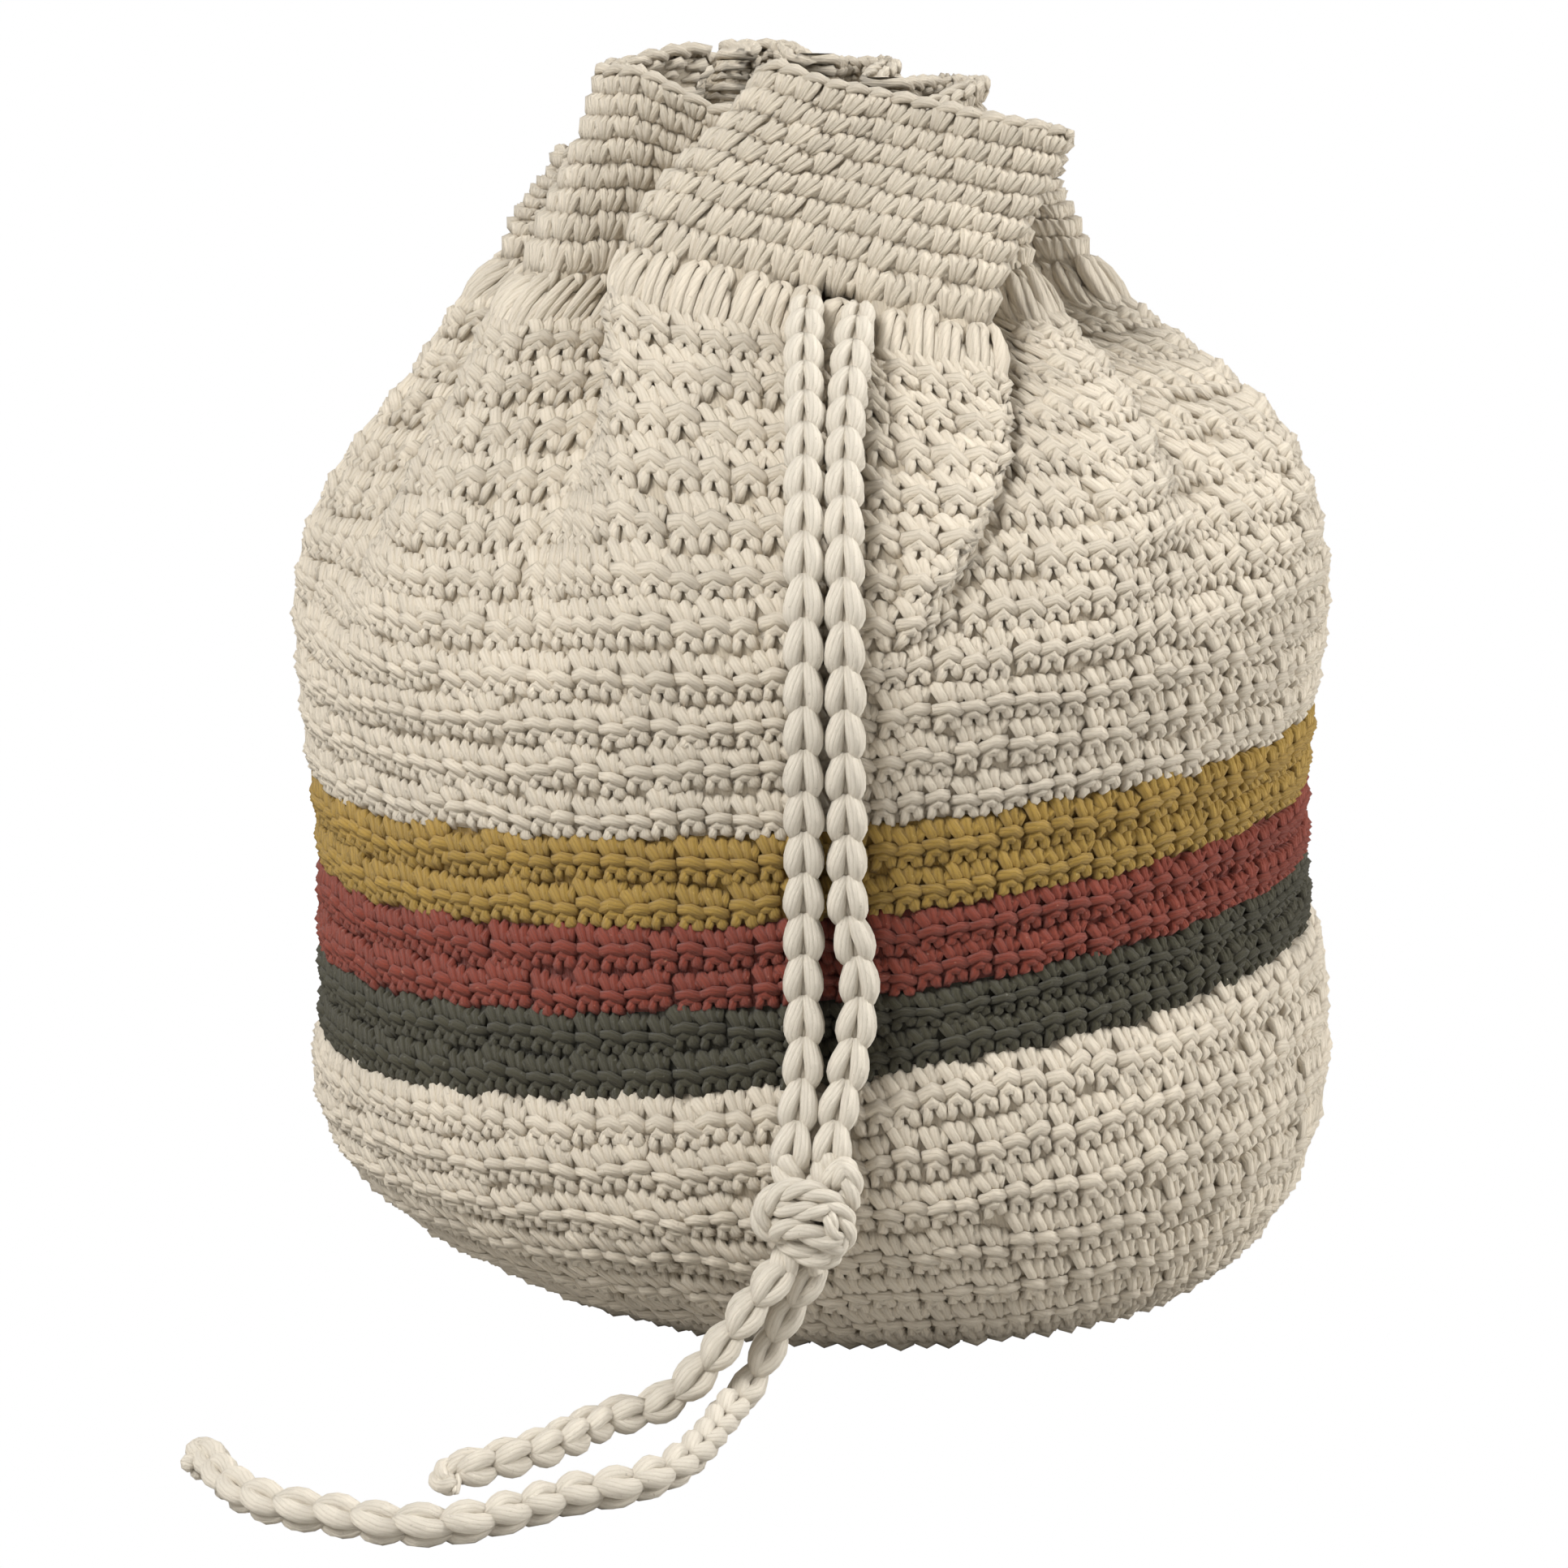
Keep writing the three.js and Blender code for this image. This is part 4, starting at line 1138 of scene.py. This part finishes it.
@dataclass
class Drawstring:
    """The chain-crocheted cord: its ring in the neck, two strands, knot and two tails, in millimetres."""

    material: Material
    link: float = 9.2
    arm_radius: float = 2.15
    arm_end: float = 0.14
    arm_sides: int = 8
    arm_offset: float = 1.3
    core_radius: float = 1.5
    core_sides: int = 6
    unevenness: float = 0.06
    end_gap: float = 0.4
    pinch: float = 0.5
    pinch_links: float = 1.5
    # Painted shade round the cord's core: points within hollow of its centreline are fully shaded, lighter
    # over the relief
    hollow: float = 1.2
    relief: float = 2.0
    tint: float = 0.6
    band_spread: float = 0.46
    band_share: float = 0.60
    band_closing: float = 9.0
    band_tip: float = 0.1
    band_offset: float = 2.1
    # One even depth for the knot and tail ends, which sets their slight painted shade
    band_shade_depth: float = 0.9
    band_tint: float = 0.7
    ground_gap: float = 0.15
    seed: int = 5

    def finish(self, name: str, parts: MeshParts, node: str, depth: Array | float,
               tint: float) -> Object:
        """Make a piece of cord of its tubes.

        Args:
            name: The piece's name.
            parts: Its tubes.
            node: The CAD node it stands for.
            depth: How far each point stands out of the hollows, from 0 to 1; lower points get more painted
                shade.
            tint: Its place between the darkest and the lightest stitch.

        Returns:
            The piece.
        """
        mesh = parts.to_mesh(name)
        points = read_points(mesh)
        store_numbers(mesh, "depth", np.broadcast_to(depth, len(points)))
        store_numbers(mesh, "tint", np.full(len(points), tint))
        points[:, 2] = np.maximum(points[:, 2], self.ground_gap)
        write_points(mesh, points)
        mesh.materials.append(self.material)
        return add_piece(name, mesh, node)

    def chain(self, name: str, route: Route, node: str, pinch: float = 0.0) -> tuple[Object, Array]:
        """Crochet a chain along a route.

        Args:
            name: The piece's name.
            route: Points of the route.
            node: The CAD node it stands for.
            pinch: Share by which it is squeezed thin where it starts.

        Returns:
            The piece and the centreline in metres.
        """
        path = smooth_path(np.array(route, dtype=float), ROUTE_PIECES)
        lengths = lengths_along(path)
        whole = lengths[-1]
        _, side, up = frames_along(path)
        count = max(2, round(whole / self.link))
        pitch = whole / count
        parts = MeshParts()
        rng = np.random.default_rng(self.seed + len(route))
        hands = [(hand, face) for face in (1.0, -1.0) for hand in (1.0, -1.0)]
        for index in range(count):
            for hand, face in hands:
                wobble = 1.0 + rng.uniform(-self.unevenness, self.unevenness)
                points = np.array(LINK_ARM) * (hand * wobble, pitch, face * wobble)
                arm = smooth_path(points, ARM_PIECES)[::ARM_STEP]
                at = np.clip((index + 0.5) * pitch + arm[:, 1], self.end_gap, whole - self.end_gap)
                squeeze = 1 - pinch * np.exp(-((at / (self.pinch_links * self.link)) ** 2))
                line = (read_rows(at, lengths, path)
                        + read_rows(at, lengths, side) * (arm[:, 0] * squeeze)[:, None]
                        + read_rows(at, lengths, up) * (arm[:, 2] * squeeze)[:, None])
                radii = self.arm_radius * (0.5 + 0.5 * swelling(len(line), self.arm_end)) * squeeze
                parts.add_tube(line, radii, self.arm_sides, index * self.arm_offset)
        core = path[::CORE_STEP]
        parts.add_tube(core, np.full(len(core), self.core_radius), self.core_sides, 0.0)
        # Painted shade in the cord's hollows between its links, from each point's distance to the
        # centreline
        away = self.distances(np.concatenate(parts.vertices), path)
        depth = np.clip((away - self.hollow) / self.relief, 0.0, 1.0)
        LOG.info("%s: %.0f mm of cord, %d links", name, whole, count)
        return self.finish(name, parts, node, depth, self.tint), path * MM

    @staticmethod
    def distances(points: Array, path: Array) -> Array:
        """Distance of each point from the nearest sample of a path."""
        return np.min([np.linalg.norm(points - sample, axis=1) for sample in path[::PATH_STEP]], axis=0)

    def build(self) -> None:
        self.chain("ring_cord", RING_ROUTE, "drawstring_ring")
        self.ends()
        knot = self.knot()
        for name, route, node, end, lay in (
            ("left_run_cord", LEFT_RUN_ROUTE, "drawstring_left_run", "knot", "hanging"),
            ("right_run_cord", RIGHT_RUN_ROUTE, "drawstring_right_run", "knot", "hanging"),
            ("short_tail_cord", SHORT_TAIL_ROUTE, "short_tail", "bare", "loose"),
            ("long_tail_cord", LONG_TAIL_ROUTE, "long_tail", "knot", "loose"),
        ):
            hangs = lay == "hanging"
            piece, path = self.chain(name, route, node, self.pinch if hangs else 0.0)

    def bundle(self, name: str, strands: Sequence[tuple[Route, float]], origin: Point,
               node: str) -> Object:
        """Lay thick bundles of yarn along short paths.

        Args:
            name: The piece's name.
            strands: Points of each path, with its radius.
            origin: What the points are counted from.
            node: The CAD node the piece stands for.

        Returns:
            The piece.
        """
        parts = MeshParts()
        for index, (points, radius) in enumerate(strands):
            path = smooth_path(np.array(points) + origin, BAND_PIECES)
            lengths = lengths_along(path)
            share = lengths / lengths[-1]
            ends = np.minimum(1.0, np.minimum(share, 1 - share) * self.band_closing + self.band_tip)
            swell = np.sqrt(1 - (1 - ends) ** 2)
            _, side, up = frames_along(path)
            for ply in range(BAND_PLIES):
                angle = TAU * (ply / BAND_PLIES + lengths / BAND_TWIST) + index
                offset = side * np.cos(angle)[:, None] + up * np.sin(angle)[:, None]
                line = path + offset * (radius * self.band_spread * swell)[:, None]
                start = index * self.band_offset + ply
                parts.add_tube(line, radius * self.band_share * swell, self.arm_sides, start)
        return self.finish(name, parts, node, self.band_shade_depth, self.band_tint)

    def knot(self) -> Object:
        """Tie the overhand knot of both strands, seen as bands that cross over each other."""
        bands = [([(right, -out, up) for right, up, out in points], radius)
                 for points, radius in KNOT_BANDS]
        return self.bundle("tied_knot", bands, KNOT_AT, "drawstring_knot")

    def ends(self) -> None:
        """Finish the tails with a knob, a loop and a thread."""
        for name, strands, end, node in (
            ("long_tail_knob", LONG_TAIL_END, LONG_TAIL_ROUTE[-1], "long_tail"),
            ("short_tail_end", SHORT_TAIL_END, SHORT_TAIL_ROUTE[-1], "short_tail"),
        ):
            self.bundle(name, strands, (end[0], end[1], 0.0), node)


@dataclass
class Studio:
    """Floor, lamps and camera, in metres."""

    eye: Point = (0.0, -1.25, 0.38)
    aim: Point = (-0.0067, 0.0, 0.1151)
    lens: float = 123.2
    sensor: float = 36.0
    lamp_aim: Point = (0.0, 0.0, 0.14)
    floor_reach: float = 12.0
    paper: Point = (0.55, 0.54, 0.52)
    daylight: Point = (1.0, 0.985, 0.96)
    soft: float = 0.42
    white: tuple[float, float, float, float] = (1.0, 1.0, 1.0, 1.0)

    def floor(self) -> None:
        """Lay a ground that is grey paper to the light and shows plain white to the camera."""
        mesh = bpy.data.meshes.new("ground")
        reach = self.floor_reach
        corners = [(-reach, -reach, 0), (reach, -reach, 0), (reach, reach, 0), (-reach, reach, 0)]
        mesh.from_pydata(corners, [], [(0, 1, 2, 3)])
        material = bpy.data.materials.new("white_ground")
        graph = Graph(material)
        paper = graph.value("ShaderNodeBsdfDiffuse", {"Color": (*self.paper, 1.0)})
        white = graph.value("ShaderNodeEmission", {"Color": self.white, "Strength": 1.0})
        graph.node("ShaderNodeOutputMaterial", {"Surface": graph.white_to_camera(paper, white)})
        mesh.materials.append(material)
        add_object("ground", mesh)

    def world(self) -> None:
        """Fill the studio with plain soft light and a white backdrop."""
        world = bpy.data.worlds.new("studio_world")
        bpy.context.scene.world = world
        graph = Graph(world)
        soft = graph.value("ShaderNodeBackground", {"Color": (*self.daylight, 1.0), "Strength": self.soft})
        white = graph.value("ShaderNodeBackground", {"Color": self.white, "Strength": 1.0})
        graph.node("ShaderNodeOutputWorld", {"Surface": graph.white_to_camera(soft, white)})

    def aimed(self, name: str, data: ID, at: Point, aim: Point) -> Object:
        """Hang a lamp or camera at a place and point it at another."""
        thing = add_object(name, data)
        thing.location = at
        thing.rotation_euler = (Vector(aim) - Vector(at)).to_track_quat("-Z", "Y").to_euler()
        return thing

    def lamp(self, name: str, at: Point, size: float, power: float) -> None:
        """Hang a square soft lamp that looks at the bag."""
        light = bpy.data.lights.new(name, "AREA")
        light.size = size
        light.energy = power
        self.aimed(name, light, at, self.lamp_aim)

    def camera(self) -> None:
        """Stand the camera where the photograph was taken."""
        lens = bpy.data.cameras.new("camera")
        lens.lens = self.lens
        lens.sensor_width = self.sensor
        bpy.context.scene.camera = self.aimed("camera", lens, self.eye, self.aim)

    def build(self) -> None:
        """Set the studio up."""
        self.camera()
        self.floor()
        self.world()
        self.lamp("key_lamp", (-1.0, -1.25, 1.85), size=1.0, power=55.0)
        self.lamp("side_lamp", (1.85, 0.15, 0.8), size=0.8, power=34.0)
        bpy.context.scene.view_settings.view_transform = "Standard"


def main() -> None:
    """Build the bag, piece by piece, and the studio round it."""
    logging.basicConfig(level=logging.INFO, format="%(message)s")
    Studio().build()
    yarns = (NATURAL, MUSTARD, TERRACOTTA, GREY_GREEN, CORD_YARN)
    materials = {yarn.name: yarn.material() for yarn in yarns}
    Drawstring(materials[CORD_YARN.name]).build()
    CrochetCloth(Cloth(), StitchRows(), materials).build()


if __name__ == "__main__":
    main()
